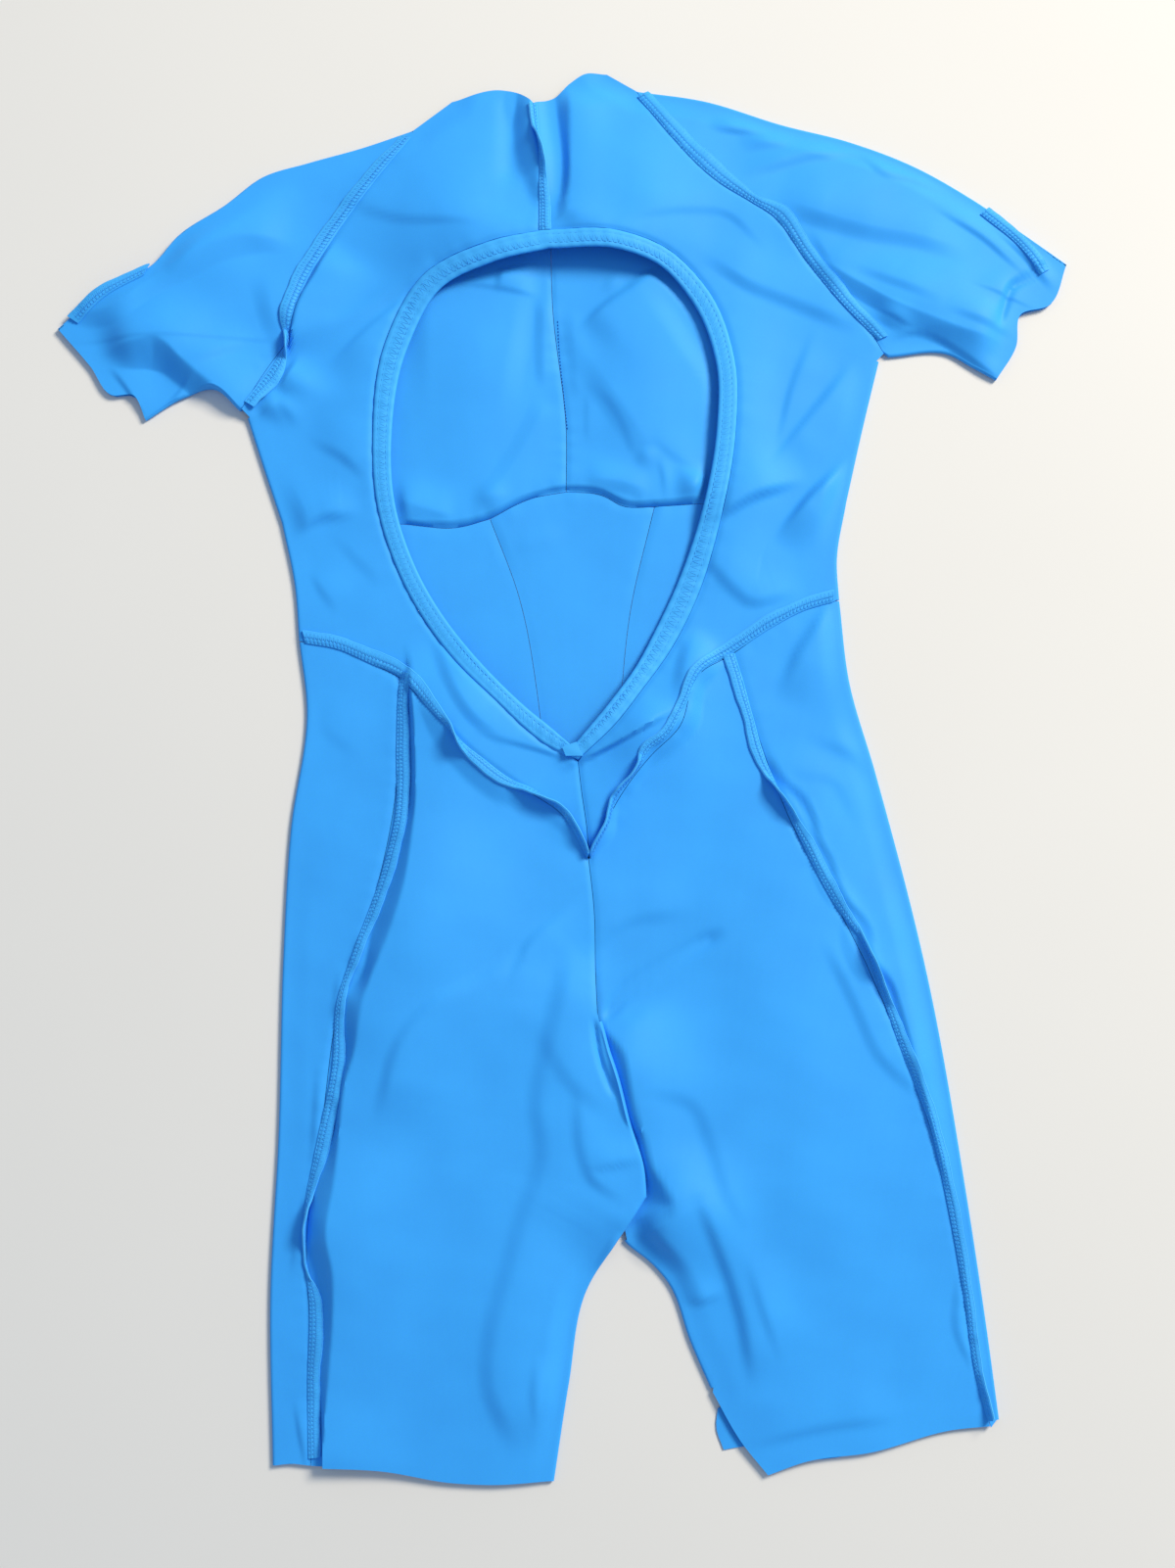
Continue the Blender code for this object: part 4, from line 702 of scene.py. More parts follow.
def patch(left, right, top, bottom, bend=0.0):
    """Grid of plan points between four edge lines, which are cut or lengthened to their corners."""
    left, right, top, bottom = (np.array(edge) for edge in (left, right, top, bottom))
    top_left = corner(left[:2], top[:2])
    low_left = corner(left[:-3:-1], bottom[:2])
    top_right = corner(right[:2], top[:-3:-1])
    low_right = corner(right[:-3:-1], bottom[:-3:-1])
    left = moved_ends(left, top_left, low_left)
    right = moved_ends(right, top_right, low_right)
    top = moved_ends(top, top_left, top_right)
    bottom = moved_ends(bottom, low_left, low_right)
    v = np.linspace(0, 1, len(left))[:, None, None]
    even = np.linspace(0, 1, len(top))
    shares = (1 - bend) * even + bend * even**2
    top, bottom = (between(shares, even, edge) for edge in (top, bottom))
    u = shares[None, :, None]
    across = (1 - u) * left[:, None] + u * right[:, None]
    down = (1 - v) * top[None] + v * bottom[None]
    corners = ((1 - u) * (1 - v) * left[0] + u * (1 - v) * right[0]
               + (1 - u) * v * left[-1] + u * v * right[-1])
    return across + down - corners


def sampled(grid, row, column):
    """Values of a grid at places between its points."""
    row = np.clip(row, 0, grid.shape[0] - 1)
    column = np.clip(column, 0, grid.shape[1] - 1)
    low = np.minimum(row.astype(int), grid.shape[0] - 2)
    left = np.minimum(column.astype(int), grid.shape[1] - 2)
    wide = row.shape + (1,) * (grid.ndim - 2)
    up = (row - low).reshape(wide)
    over = (column - left).reshape(wide)
    first = grid[low, left] * (1 - over) + grid[low, left + 1] * over
    second = grid[low + 1, left] * (1 - over) + grid[low + 1, left + 1] * over
    return first * (1 - up) + second * up


# Edges where the cloth rolls over from the back to the front
ROLLED_LINES = both("side_upper", "side_lower", "leg_side", "arm_upper", "arm_lower",
                    "inner_leg", "shoulder")
# How seams draw the cloth: the names of the lines, depth of the dip, height of the puckers
BACK_SEAMS = (
    ((*both("raglan"), *both("waist_outer", "waist_inner"), *both("panel"), "centre_neck",
      *both("bound")), 0.6, 0.1),
    (("centre_low", "centre_seat"), 0.5, 0.04),
)
FRONT_SEAMS = (
    ((*both("underbust_inner", "underbust_outer"), "front_centre"), 0.5, 0.1),
    (both("princess"), 0.5, 0.04),
)


# ---- Heights of the two layers ----
def ease(value):
    """Smooth step from 0 to 1."""
    value = np.clip(value, 0, 1)
    return value * value * (3 - 2 * value)


def faded_ends(share, fade):
    """0 at both ends of a run and 1 beyond the given share of it."""
    return ease(np.minimum(share, 1 - share) / fade)


def bell(count):
    """Weights of a bell curve, which add up to one."""
    weights = np.exp(-np.linspace(-2, 2, count) ** 2)
    return weights / weights.sum()


def blurred(field, axis):
    """A grid of values, softened along one axis."""
    around = [(0, 0), (0, 0)]
    around[axis] = (BLUR // 2, BLUR // 2)
    wider = np.pad(field, around, "edge")
    places = np.arange(field.shape[axis])
    return sum(weight * np.take(wider, places + k, axis=axis)
               for k, weight in enumerate(bell(BLUR)))


def nearest(x, y, run):
    """Distance to a run of points, its side (+1 is left) and the share of the run passed."""
    best = np.full(x.shape, np.inf)
    side = np.ones(x.shape)
    share = np.zeros(x.shape)
    pieces = len(run) - 1
    for k in range(pieces):
        start = run[k]
        step = run[k + 1] - start
        along = ((x - start[0]) * step[0] + (y - start[1]) * step[1]) / max(step @ step, TINY)
        t = np.clip(along, 0, 1)
        dx = x - (start[0] + t * step[0])
        dy = y - (start[1] + t * step[1])
        distance = np.hypot(dx, dy)
        closer = distance < best
        best = np.where(closer, distance, best)
        side = np.where(closer, np.where(step[0] * dy - step[1] * dx >= 0, 1.0, -1.0), side)
        share = np.where(closer, (k + t) / pieces, share)
    return best, side, share


def close_to(x, y, run, reach):
    """Which points lie in the box round a run, widened by the reach."""
    low = run.min(axis=0) - reach
    high = run.max(axis=0) + reach
    return (x > low[0]) & (x < high[0]) & (y > low[1]) & (y < high[1])


def fold_height(x, y, folds):
    """Sum of the folds at each plan point."""
    total = np.zeros(x.shape)
    for points, height, reach_left, reach_right in folds:
        run = smooth(points, FOLD_STEPS * len(points))
        close = close_to(x, y, run, SPREAD * max(reach_left, reach_right))
        distance, side, share = nearest(x[close], y[close], run)
        reach = np.where(side > 0, reach_left, reach_right)
        total[close] += height * faded_ends(share, FOLD_FADE) * np.exp(-(distance / reach) ** 2)
    return total


def crease_height(x, y, creases):
    """Sum of the creases at each plan point."""
    total = np.zeros(x.shape)
    for points, height, steep, soft in creases:
        run = smooth(points, FOLD_STEPS * len(points))
        length = step_lengths(run).sum()
        more = CREASE_FADE * min(length, CREASE_FADE_MOST)
        first = run[0] + towards(run[1], run[0]) * more
        last = run[-1] + towards(run[-2], run[-1]) * more
        run = smooth(np.concatenate([[first], run, [last]]), FOLD_STEPS * (len(points) + 1))
        close = close_to(x, y, run, abs(steep) + CREASE_SPREAD * soft)
        if not close.any():
            continue
        distance, side, share = nearest(x[close], y[close], run)
        along = run[-1] - run[0]
        faces = np.array((-along[1], along[0])) @ LIT_SIDE / np.linalg.norm(along)
        lit = np.sign(faces) * np.sign(steep)
        weak = 1 - abs(faces)            # the light runs along such a crease
        width = abs(steep) * (1 - WEAK_NARROWER * weak)
        off = distance * side * lit
        rise = ease(off / width + 0.5)
        fall = np.exp(-(np.maximum(off - width / 2, 0) / (SOFT_SCALE * soft)) ** 2)
        ends = faded_ends(share, min(0.5, FADE_LENGTHS * more / (length + 2 * more)))
        total[close] += CREASE_SCALE * height * (1 + WEAK_HIGHER * weak) * ends * rise * fall
    return total


@lru_cache(maxsize=None)
def slope_shape(lines, height, soft):
    """The lines of a slope, the side it climbs to, and its full height on a grid of points."""
    low, high = (smooth(run, SLOPE_STEPS * len(lines)) for run in two_lines(lines))
    middle = len(high) // 2
    turn = nearest(high[middle:middle + 1, 0], high[middle:middle + 1, 1], low)[1][0]
    first = high.min(axis=0) - SPREAD * soft - SLOPE_MARGIN
    last = high.max(axis=0) + SPREAD * soft + SLOPE_MARGIN + GRID
    x, y = np.meshgrid(np.arange(first[0], last[0], GRID), np.arange(first[1], last[1], GRID))
    distance, side, share = (part.reshape(x.shape) for part in nearest(x.ravel(), y.ravel(), high))
    length = step_lengths(high).sum()
    fade = min(max(SLOPE_END, SLOPE_END_SOFT * soft), SLOPE_END_MOST, length / 2)
    ends = ease(np.minimum(share, 1 - share) * length / fade)
    wide = nearest(high[:, 0], high[:, 1], low)[0]
    wide = np.convolve(np.pad(wide, WIDE_BLUR // 2, "edge"), bell(WIDE_BLUR), "valid")
    tall = height * (1 + WIDE_SLOPE * np.clip(wide - NARROW, 0, WIDER_MOST))
    tall = np.interp(share, np.linspace(0, 1, len(high)), tall)
    field = tall * ends * np.exp(-(np.maximum(distance * side * turn, 0) / soft) ** 2)
    for axis in (0, 1) * max(1, int(soft / BLUR_FOR)):
        field = blurred(field, axis)
    more = FOOT_MORE * np.stack([towards(low[1], low[0]), towards(low[-2], low[-1])])
    low = np.concatenate([[low[0] + more[0]], low, [low[-1] + more[1]]])
    return low, high, turn, first, field


def slope_height(x, y, slopes):
    """Sum of the slopes: each climbs evenly from its foot to its crest and sinks beyond it."""
    total = np.zeros(x.shape)
    for lines, height, soft in slopes:
        low, high, turn, first, field = slope_shape(lines, height, soft)
        close = close_to(x, y, high, SPREAD * soft + SLOPE_MARGIN)
        if not close.any():
            continue
        low_distance, low_side, _ = nearest(x[close], y[close], low)
        distance, side, _ = nearest(x[close], y[close], high)
        above = low_distance * low_side * turn
        beyond = distance * side * turn
        part = np.clip(above / np.maximum(above - beyond, TINY), 0, 1)
        part = np.where(beyond > 0, 1.0, np.where(above < 0, 0.0, part))
        part = (1 - EASED) * part + EASED * ease(part)
        column, row = ((place[close] - start) / GRID for place, start in zip((x, y), first))
        total[close] += sampled(field, row, column) * part
    return total


def rise_height(x, y, rises):
    """Sum of the broad rises at each plan point."""
    total = np.zeros(x.shape)
    for cx, cy, reach_x, reach_y, height in rises:
        total += height * np.exp(-((x - cx) / reach_x) ** 2 - ((y - cy) / reach_y) ** 2)
    return total


def edge_settle(x, y):
    """0 on a rolled edge of the suit, 1 well inside it."""
    best = np.full(x.shape, np.inf)
    for name in ROLLED_LINES:
        run = smooth(LINES[name], FOLD_STEPS * len(LINES[name]))
        close = close_to(x, y, run, SETTLE_REACH)
        best[close] = np.minimum(best[close], nearest(x[close], y[close], run)[0])
    return ease((best - ROLL_INSET) / EDGE_REACH)


def undulation(x, y):
    """The faint waves of worn cloth."""
    total = np.zeros(x.shape)
    for height, run_x, run_y, length, phase, bend, axis, bend_length in WAVES:
        bent = bend * np.sin((x, y)[axis] / bend_length)
        total += height * np.sin(2 * pi * (x * run_x + y * run_y) / length + phase + bent)
    return WAVE_SCALE * total


def sway(passed, size, length):
    """A slow change along a run, which keeps its ripples from being regular."""
    return size * np.sin(passed / length)


def seam_effect(x, y, names, dip, pucker):
    """How seams draw the cloth down and pucker it on both sides."""
    total = np.zeros(x.shape)
    for name in names:
        run = smooth(LINES[name], SEAM_STEPS * len(LINES[name]))
        close = close_to(x, y, run, PUCKER_REACH)
        distance, side, share = nearest(x[close], y[close], run)
        passed = share * step_lengths(run).sum() + PUCKER_SHIFT * side
        wave = np.sin(2 * pi * passed / PUCKER_LENGTH + sway(passed, *PUCKER_SWAY))
        size, length, phase = WIDE_PUCKERS
        wave += size * np.sin(2 * pi * passed / length + phase)
        total[close] += (pucker * wave * np.exp(-(distance / PUCKER_WIDTH) ** 2)
                         - dip * np.exp(-(distance / DIP_WIDTH) ** 2))
    return total


def in_the_keyhole(x, y):
    """1 well inside the opening of the back, 0 at its edge and outside it."""
    ring = np.concatenate([line("hole_right", 80), line("hole_left", 80)[-2::-1]])
    inner = nearest(*np.array(IN_THE_HOLE)[:, None], ring)[1][0]
    distance, side, _ = nearest(x, y, ring)
    return ease(distance * side * inner / HOLE_EDGE)


def front_height(x, y):
    """Height of the middle of the front layer, without its seams and slopes."""
    inside = (ease((CHEST_HALF_WIDTH - np.abs(x - CHEST_MIDDLE)) / CHEST_FADE_X)
              * ease((y - CHEST_BOTTOM) / CHEST_FADE_Y) * ease((CHEST_TOP - y) / CHEST_FADE_Y))
    lift = (rise_height(x, y, FRONT_RISES) + fold_height(x, y, FRONT_FOLDS)
            + crease_height(x, y, FRONT_CREASES) + FRONT_UNDULATION * undulation(x, y))
    return FLOOR_LAYER + inside * np.maximum(lift, 0)


def front_surface(plan):
    """Height of the middle of the front layer at plan points."""
    x, y = np.moveaxis(plan, -1, 0)
    seams = sum(seam_effect(x, y, *row) for row in FRONT_SEAMS)
    detail = slope_height(x, y, FRONT_SLOPES)
    some = np.abs(detail) > TINY
    detail[some] *= in_the_keyhole(x[some], y[some])
    return np.maximum(front_height(x, y) + seams + detail, FRONT_LEAST)


def back_height(plan, more_folds=()):
    """Height of the middle of the back layer, which lies on the front layer, at plan points."""
    x, y = np.moveaxis(plan, -1, 0)
    lift = (rise_height(x, y, BACK_RISES) + fold_height(x, y, BACK_FOLDS)
            + crease_height(x, y, BACK_CREASES) + slope_height(x, y, BACK_SLOPES)
            + undulation(x, y))
    for row in BACK_SEAMS:
        lift += seam_effect(x, y, *row)
    lift = np.maximum(lift, 0) * edge_settle(x, y) + slope_height(x, y, EDGE_SLOPES)
    return front_height(x, y) + LAYER_STEP + lift + fold_height(x, y, more_folds)


# ---- Meshes ----
def make_object(name, points, faces, finish):
    """A mesh object in metres, made of quads turned outwards."""
    used, faces = np.unique(faces, return_inverse=True)
    mesh = bpy.data.meshes.new(name)
    mesh.from_pydata((points[used] / METRE).tolist(), [], faces.reshape(-1, 4).tolist())
    shape = bmesh.new()
    shape.from_mesh(mesh)
    bmesh.ops.recalc_face_normals(shape, faces=shape.faces)
    shape.to_mesh(mesh)
    shape.free()
    mesh.shade_smooth()
    mesh.set_sharp_from_angle(angle=radians(SHARP_ANGLE))
    return placed(name, mesh, finish)


def placed(name, data, finish=None):
    """A new object in the scene, with its finish if it has one."""
    made = bpy.data.objects.new(name, data)
    if finish:
        data.materials.append(finish)
    bpy.context.scene.collection.objects.link(made)
    return made


def grid_quads(rows, columns, round_rows=False, round_columns=False):
    """The cells between the points of a grid, which may be closed into a ring or a tube."""
    index = np.arange(rows * columns).reshape(rows, columns)
    if round_rows:
        index = np.concatenate([index, index[:1]], axis=0)
    if round_columns:
        index = np.concatenate([index, index[:, :1]], axis=1)
    return np.stack([index[:-1, :-1], index[:-1, 1:], index[1:, 1:], index[1:, :-1]], axis=-1)


def wall(name, middle, out, finish, cells=None, round_columns=False, thickness=CLOTH):
    """A closed wall of even thickness about a grid of middle points."""
    rows, columns = middle.shape[:2]
    count = rows * columns
    quads = grid_quads(rows, columns, round_columns=round_columns)
    quads = quads.reshape(-1, 4) if cells is None else quads[cells]
    half = out * thickness / 2
    points = np.concatenate([(middle + half).reshape(-1, 3), (middle - half).reshape(-1, 3)])
    starts = quads.reshape(-1)
    ends = np.roll(quads, -1, axis=1).reshape(-1)
    open_edge = ~np.isin(starts * count + ends, ends * count + starts)
    p = starts[open_edge]
    q = ends[open_edge]
    rim = np.stack([q, p, p + count, q + count], axis=-1)
    faces = np.concatenate([quads, quads[:, ::-1] + count, rim])
    return make_object(name, points, faces, finish)


def raised(plan, height):
    """Plan points at the given heights."""
    return np.concatenate([plan, height[..., None]], axis=-1)


def lay(plan, height):
    """Middle points and upward directions of a patch lying at the given heights."""
    middle = raised(plan, height)
    out = np.zeros_like(middle)
    out[..., 2] = 1.0
    return middle, out


def roll_over(edge, outwards, top, bottom, reach=None):
    """Columns that roll the cloth round its edge line and bring it back underneath."""
    bottom = np.broadcast_to(bottom, top.shape)
    middles = []
    outs = []
    centre = (top + bottom) / 2
    radius = (top - bottom) / 2
    for angle in ROLL_ANGLES:
        turn = radians(angle)
        middles.append(raised(edge + outwards * ROLL * sin(turn), centre + radius * cos(turn)))
        outs.append(raised(outwards * sin(turn), np.full(top.shape, cos(turn))))
    if reach is not None:
        for share in (0.5, 1.0):
            under = edge - outwards * np.broadcast_to(reach, top.shape)[:, None] * share
            middles.append(raised(under, bottom))
            outs.append(np.tile(FACE_DOWN, (len(edge), 1)))
    return np.stack(middles, axis=1), np.stack(outs, axis=1)


def flat_panel(name, plan, height):
    """A panel without a rolled edge."""
    return wall(f"{name}_cloth", *lay(plan, height), KNIT)


def rolled_panel(name, plan, height, outwards, bottom, reach, first=0):
    """A panel whose last column rolls over from the first given row on, and comes back beneath."""
    middle, out = lay(plan, height)
    rows, columns = height.shape
    rolling = slice(first, first + len(outwards))
    more, more_out = roll_over(plan[rolling, -1], outwards, height[rolling, -1], bottom, reach)
    count = more.shape[1]
    wide, wide_out = np.zeros((2, rows, count, 3))
    wide[rolling] = more
    wide_out[rolling] = more_out
    cells = np.ones((rows - 1, columns - 1 + count), dtype=bool)
    cells[:first, columns - 1:] = False
    cells[rolling.stop - 1:, columns - 1:] = False
    middle = np.concatenate([middle, wide], axis=1)
    out = np.concatenate([out, wide_out], axis=1)
    return wall(f"{name}_cloth", middle, out, KNIT, cells)


def tubes(name, paths, radius, finish):
    """Threads: one four-sided tube along each path. paths is an array (threads, points, 3)."""
    along = unit(np.gradient(paths, axis=1))
    across = unit(np.cross(along, ASKEW))
    up = np.cross(across, along)
    rings = np.stack([across, up, -across, -up], axis=2) * radius
    rings[:, [0, -1]] *= THREAD_TIP
    points = (paths[:, :, None] + rings).reshape(-1, 3)
    threads, length = paths.shape[:2]
    index = np.arange(threads * length * 4).reshape(threads, length, 4)
    turned = np.roll(index, -1, axis=2)
    sides = np.stack([index[:, :-1], turned[:, :-1], turned[:, 1:], index[:, 1:]], axis=-1)
    caps = np.concatenate([index[:, 0, ::-1], index[:, -1]])
    faces = np.concatenate([sides.reshape(-1, 4), caps])
    return make_object(name, points, faces, finish)


def stitch_run(starts, length, count=STITCH_POINTS):
    """Distances of the points of each stitch, a row for a stitch."""
    return starts[:, None] + np.linspace(0, length, count)


# ---- Finishes ----
def add_node(nodes, kind, settings=(), **inputs):
    """A new shader node with its settings and the values of its inputs."""
    made = nodes.new(f"ShaderNode{kind}")
    for name, value in dict(settings).items():
        setattr(made, name, value)
    set_inputs(made, **inputs)
    return made


def set_inputs(node, **inputs):
    """Gives a node's inputs their values. An underscore stands for a space in an input's name."""
    for name, value in inputs.items():
        node.inputs[name.replace("_", " ")].default_value = value


def add_ramp(nodes, ends):
    """A colour ramp with its two ends, each a position and a colour."""
    ramp = add_node(nodes, "ValToRGB")
    for element, (position, colour) in zip(ramp.color_ramp.elements, ends):
        element.position = position
        element.color = (*colour, 1.0)
    return ramp


def new_material(name, **inputs):
    """A node material, its nodes, links and shader, and the place on the object."""
    made = bpy.data.materials.new(name)
    made.use_nodes = True
    nodes = made.node_tree.nodes
    shader = nodes["Principled BSDF"]
    set_inputs(shader, **inputs)
    place = add_node(nodes, "TexCoord").outputs["Object"]
    return made, nodes, made.node_tree.links, shader, place


def cloth_finish(name, colour, wale, course, strength, roughness):
    """Knitted cloth: faint clouding of the colour, and the ribs and rows of the knit as bump."""
    made, nodes, links, shader, place = new_material(
        name, Metallic=0.0, Specular_IOR_Level=0.2, Sheen_Weight=0.06, Sheen_Roughness=0.45,
        Sheen_Tint=(0.5, 0.75, 1.0, 1.0))
    cloud = add_node(nodes, "TexNoise", Scale=17.0, Detail=4.0, Roughness=0.55)
    fleck = add_node(nodes, "TexNoise", Scale=1400.0, Detail=2.0)
    grain = add_node(nodes, "TexNoise", Scale=160.0, Detail=3.0)
    ramp = add_ramp(nodes, ((0.3, [DARKER * value for value in colour]),
                            (0.7, [min(1.0, LIGHTER * value) for value in colour])))
    mix = add_node(nodes, "Mix", {"data_type": "RGBA", "blend_type": "MULTIPLY"}, Factor=0.12)
    rough = add_node(nodes, "MapRange", To_Min=roughness - 0.04, To_Max=roughness + 0.05)
    ribs = [add_node(nodes, "TexWave", {"bands_direction": direction}, Scale=pi / (10 * period),
                     Distortion=1.5, Detail=1.0, Detail_Scale=1.0)
            for direction, period in (("X", wale), ("Y", course))]
    knit = add_node(nodes, "Math", {"operation": "ADD"})
    ribbed = add_node(nodes, "Bump", Strength=strength, Distance=0.00006)
    grained = add_node(nodes, "Bump", Strength=0.04, Distance=0.0004)
    for texture in (cloud, fleck, grain, *ribs):
        links.new(place, texture.inputs["Vector"])
    links.new(cloud.outputs["Fac"], ramp.inputs["Fac"])
    links.new(ramp.outputs["Color"], mix.inputs["A"])
    links.new(fleck.outputs["Color"], mix.inputs["B"])
    links.new(mix.outputs["Result"], shader.inputs["Base Color"])
    links.new(cloud.outputs["Fac"], rough.inputs["Value"])
    links.new(rough.outputs["Result"], shader.inputs["Roughness"])
    for k, rib in enumerate(ribs):
        links.new(rib.outputs["Fac"], knit.inputs[k])
    links.new(knit.outputs["Value"], ribbed.inputs["Height"])
    links.new(grain.outputs["Fac"], grained.inputs["Height"])
    links.new(ribbed.outputs["Normal"], grained.inputs["Normal"])
    links.new(grained.outputs["Normal"], shader.inputs["Normal"])
    return made


def floor_finish():
    """A plain pale floor, very slightly uneven."""
    made, nodes, links, shader, place = new_material("pale_floor", Roughness=0.85)
    noise = add_node(nodes, "TexNoise", Scale=3.0)
    ramp = add_ramp(nodes, ((0.0, (0.70, 0.70, 0.69)), (1.0, (0.74, 0.74, 0.73))))
    links.new(place, noise.inputs["Vector"])
    links.new(noise.outputs["Fac"], ramp.inputs["Fac"])
    links.new(ramp.outputs["Color"], shader.inputs["Base Color"])
    return made


KNIT = cloth_finish("knit_cloth", KNIT_BLUE, 0.0006, 0.0005, 0.25, 0.58)
# The binding and the allowances take the lightened blue: painted light that offsets their shade
BINDING = cloth_finish("binding_cloth", LIGHTENED_EDGE_BLUE, 0.0006, 0.0005, 0.3, 0.58)
EDGING = cloth_finish("allowance_cloth", LIGHTENED_EDGE_BLUE, 0.0006, 0.0005, 0.3, 0.6)
# The overlock threads take the lightened blue: painted light that offsets the shade between them
THREAD = cloth_finish("overlock_thread", LIGHTENED_THREAD_BLUE, 0.0003, 0.0003, 0.5, 0.55)
STITCH = cloth_finish("topstitch_thread", STITCH_BLUE, 0.0003, 0.0003, 0.5, 0.6)


# ---- Panels ----
def side_fold(hand, fine=FINE_LENGTH):
    """Edge line, outward directions and return widths of the body's rolled side."""
    edge = path((f"side_upper_{hand}", SIDE_STEPS), (f"side_lower_{hand}", SIDE_STEPS), fine=fine)
    outwards = outward(edge, edge * TOWARDS_MIDDLE)
    outwards[-1] = SIGN[hand] * ACROSS_X
    widths = SIDE_RETURN * np.interp(np.arange(len(edge)) / fine, (0, 1, 2), RETURN_STARTS)
    return edge - outwards * ROLL_INSET, outwards, widths


def under_side(hand, fine=FINE_LENGTH):
    """Plan points where the front panels meet the returns of the body's rolled side."""
    edge, outwards, widths = side_fold(hand, fine)
    return edge - outwards * (widths + SEAM_GAP)[:, None]


def leg_fold(hand, fine=FINE_LENGTH):
    """Edge line and outward directions of the leg's rolled outer edge."""
    edge = line(f"leg_side_{hand}", LEG_STEPS * fine)
    outwards = outward(edge, edge * TOWARDS_MIDDLE)
    outwards[0] = SIGN[hand] * ACROSS_X
    edge = edge - outwards * ROLL_INSET
    edge[0] -= UP_Y * SEAM_GAP / 2
    return edge, outwards


def inner_leg(hand, fine=FINE_LENGTH):
    """Inner edge of a back leg: plan points, outward directions, and the rows that roll."""
    edge = path(*INNER_LEG_LINES[hand], fine=fine)
    first, last = (row * fine for row in INNER_LEG_ROLL[hand])
    outwards = outward(edge, edge + SIGN[hand] * ACROSS_X)
    ramp = ease((np.arange(len(edge)) - first) / ROLL_START)
    distance = SEAM_GAP / 2 + (ROLL_INSET - SEAM_GAP / 2) * ramp
    distance[last + 1:] = 0.0
    return edge - outwards * distance[:, None], outwards, (first, last)


def back_bodice(hand):
    """Back of the body from the neck to the waist, on one side of the keyhole."""
    raglan = path((f"shoulder_{hand}", 1), (f"raglan_{hand}", RAGLAN_STEPS))
    raglan = beside(raglan)
    side, outwards, widths = side_fold(hand)
    side[-1] += UP_Y * SEAM_GAP / 2
    waist = path((f"waist_outer_{hand}", WAIST_STEPS), (f"waist_inner_{hand}", ACROSS))[1:]
    outer = np.concatenate([raglan, side, above(waist)])
    low_rows = len(outer) - 1 - (CENTRE_STEPS + HOLE_STEPS) * FINE_LENGTH
    inner = path(("centre_neck", CENTRE_STEPS), (f"bound_{hand}", HOLE_STEPS))[:-1]
    inner = inset(np.concatenate([inner, line("centre_low", low_rows)]), outer)
    outer[-1] = inner[-1] + (SIGN[hand] * BODICE_POINT[0], BODICE_POINT[1])
    across = ACROSS * FINE_ACROSS
    plan = patch(inner, outer, line(f"neck_{hand}", across),
                 np.linspace(inner[-1], outer[-1], across + 1))
    return rolled_panel(f"back_bodice_{hand}", plan, back_height(plan), outwards, FLOOR_LAYER,
                        widths, first=len(raglan))


def side_panel(hand):
    """Outer leg panel: from the back seam round the outer edge to a seam underneath."""
    edge, outwards = leg_fold(hand)
    seam = inset(line(f"panel_{hand}", LEG_STEPS * FINE_LENGTH), edge)
    across = WAIST_STEPS * FINE_LENGTH
    top = line(f"waist_outer_{hand}", across)[::-1]
    plan = patch(seam, edge, below(top), line(f"hem_side_{hand}", across))
    return rolled_panel(f"side_panel_{hand}", plan, back_height(plan), outwards, FLOOR_LAYER,
                        PANEL_RETURN)


def back_leg(hand):
    """Back of the seat and leg, from the waist seam to the hem."""
    inner, outwards, (first, last) = inner_leg(hand)
    seam = inset(line(f"panel_{hand}", LEG_STEPS * FINE_LENGTH), inner)
    across = ACROSS * FINE_LEG
    top = line(f"waist_inner_{hand}", across)
    plan = patch(seam, inner, below(top), line(f"hem_{hand}", across), SEAM_BEND)
    height = back_height(plan, FLAP_FOLDS if hand == "left" else ())
    bottom = FLOOR_LAYER
    rows = slice(first, last + 1)
    if hand == "left":
        lying = ease((plan[rows, -1, 1] + FLAP_END) / FLAP_SLOPE)
        bottom = FLOOR_LAYER + (FLAP_REST - FLOOR_LAYER) * lying
        height[rows, -1] = np.maximum(height[rows, -1], bottom + LAYER_STEP)
    return rolled_panel(f"back_leg_{hand}", plan, height, outwards[rows], bottom, LEG_RETURN, first)


def front_leg(hand):
    """Front of the leg, which lies on the floor."""
    edge, outwards = leg_fold(hand, PLAIN)
    outer = edge - outwards * (PANEL_RETURN + SEAM_GAP)
    edge, outwards, _ = inner_leg(hand, PLAIN)
    inner = edge - outwards * (LEG_RETURN + SEAM_GAP)
    centre = line("front_centre_leg", CROTCH_STEPS * PLAIN)
    inner[:len(centre)] = centre + SIGN[hand] * ACROSS_X * SEAM_GAP / 2
    if hand == "right":
        strip = line("front_strip_right", 2 * PLAIN)
        inner[-len(strip):] = strip
    waist = line(f"front_waist_{hand}", 3 * PLAIN)[::-1]
    top = np.concatenate([waist, line(f"front_point_{hand}", 2 * PLAIN)[1:]])
    hem = line(f"front_hem_{hand}", len(top) - 1)[::-1]
    plan = patch(outer, inner, below(top), hem)
    return flat_panel(f"front_leg_{hand}", plan, np.full(plan.shape[:2], FLOOR_LAYER))


def front_bust(hand):
    """Front of the chest, from the front neck and raglan seam to the bust seam."""
    raglan = beside(path((f"raglan_{hand}", RAGLAN_STEPS), fine=FINE_BUST))
    outer = np.concatenate([raglan, under_side(hand, FINE_BUST)[:SIDE_STEPS * FINE_BUST + 1]])
    centre = inset(line("front_centre", len(outer) - 1), outer)
    bottom = path((f"underbust_inner_{hand}", 2), (f"underbust_outer_{hand}", 4), fine=FINE_BUST)
    neck = line(f"front_neck_{hand}", len(bottom) - 1)
    plan = patch(centre, outer, neck, above(bottom), SEAM_BEND)
    return flat_panel(f"front_bust_{hand}", plan, front_surface(plan))


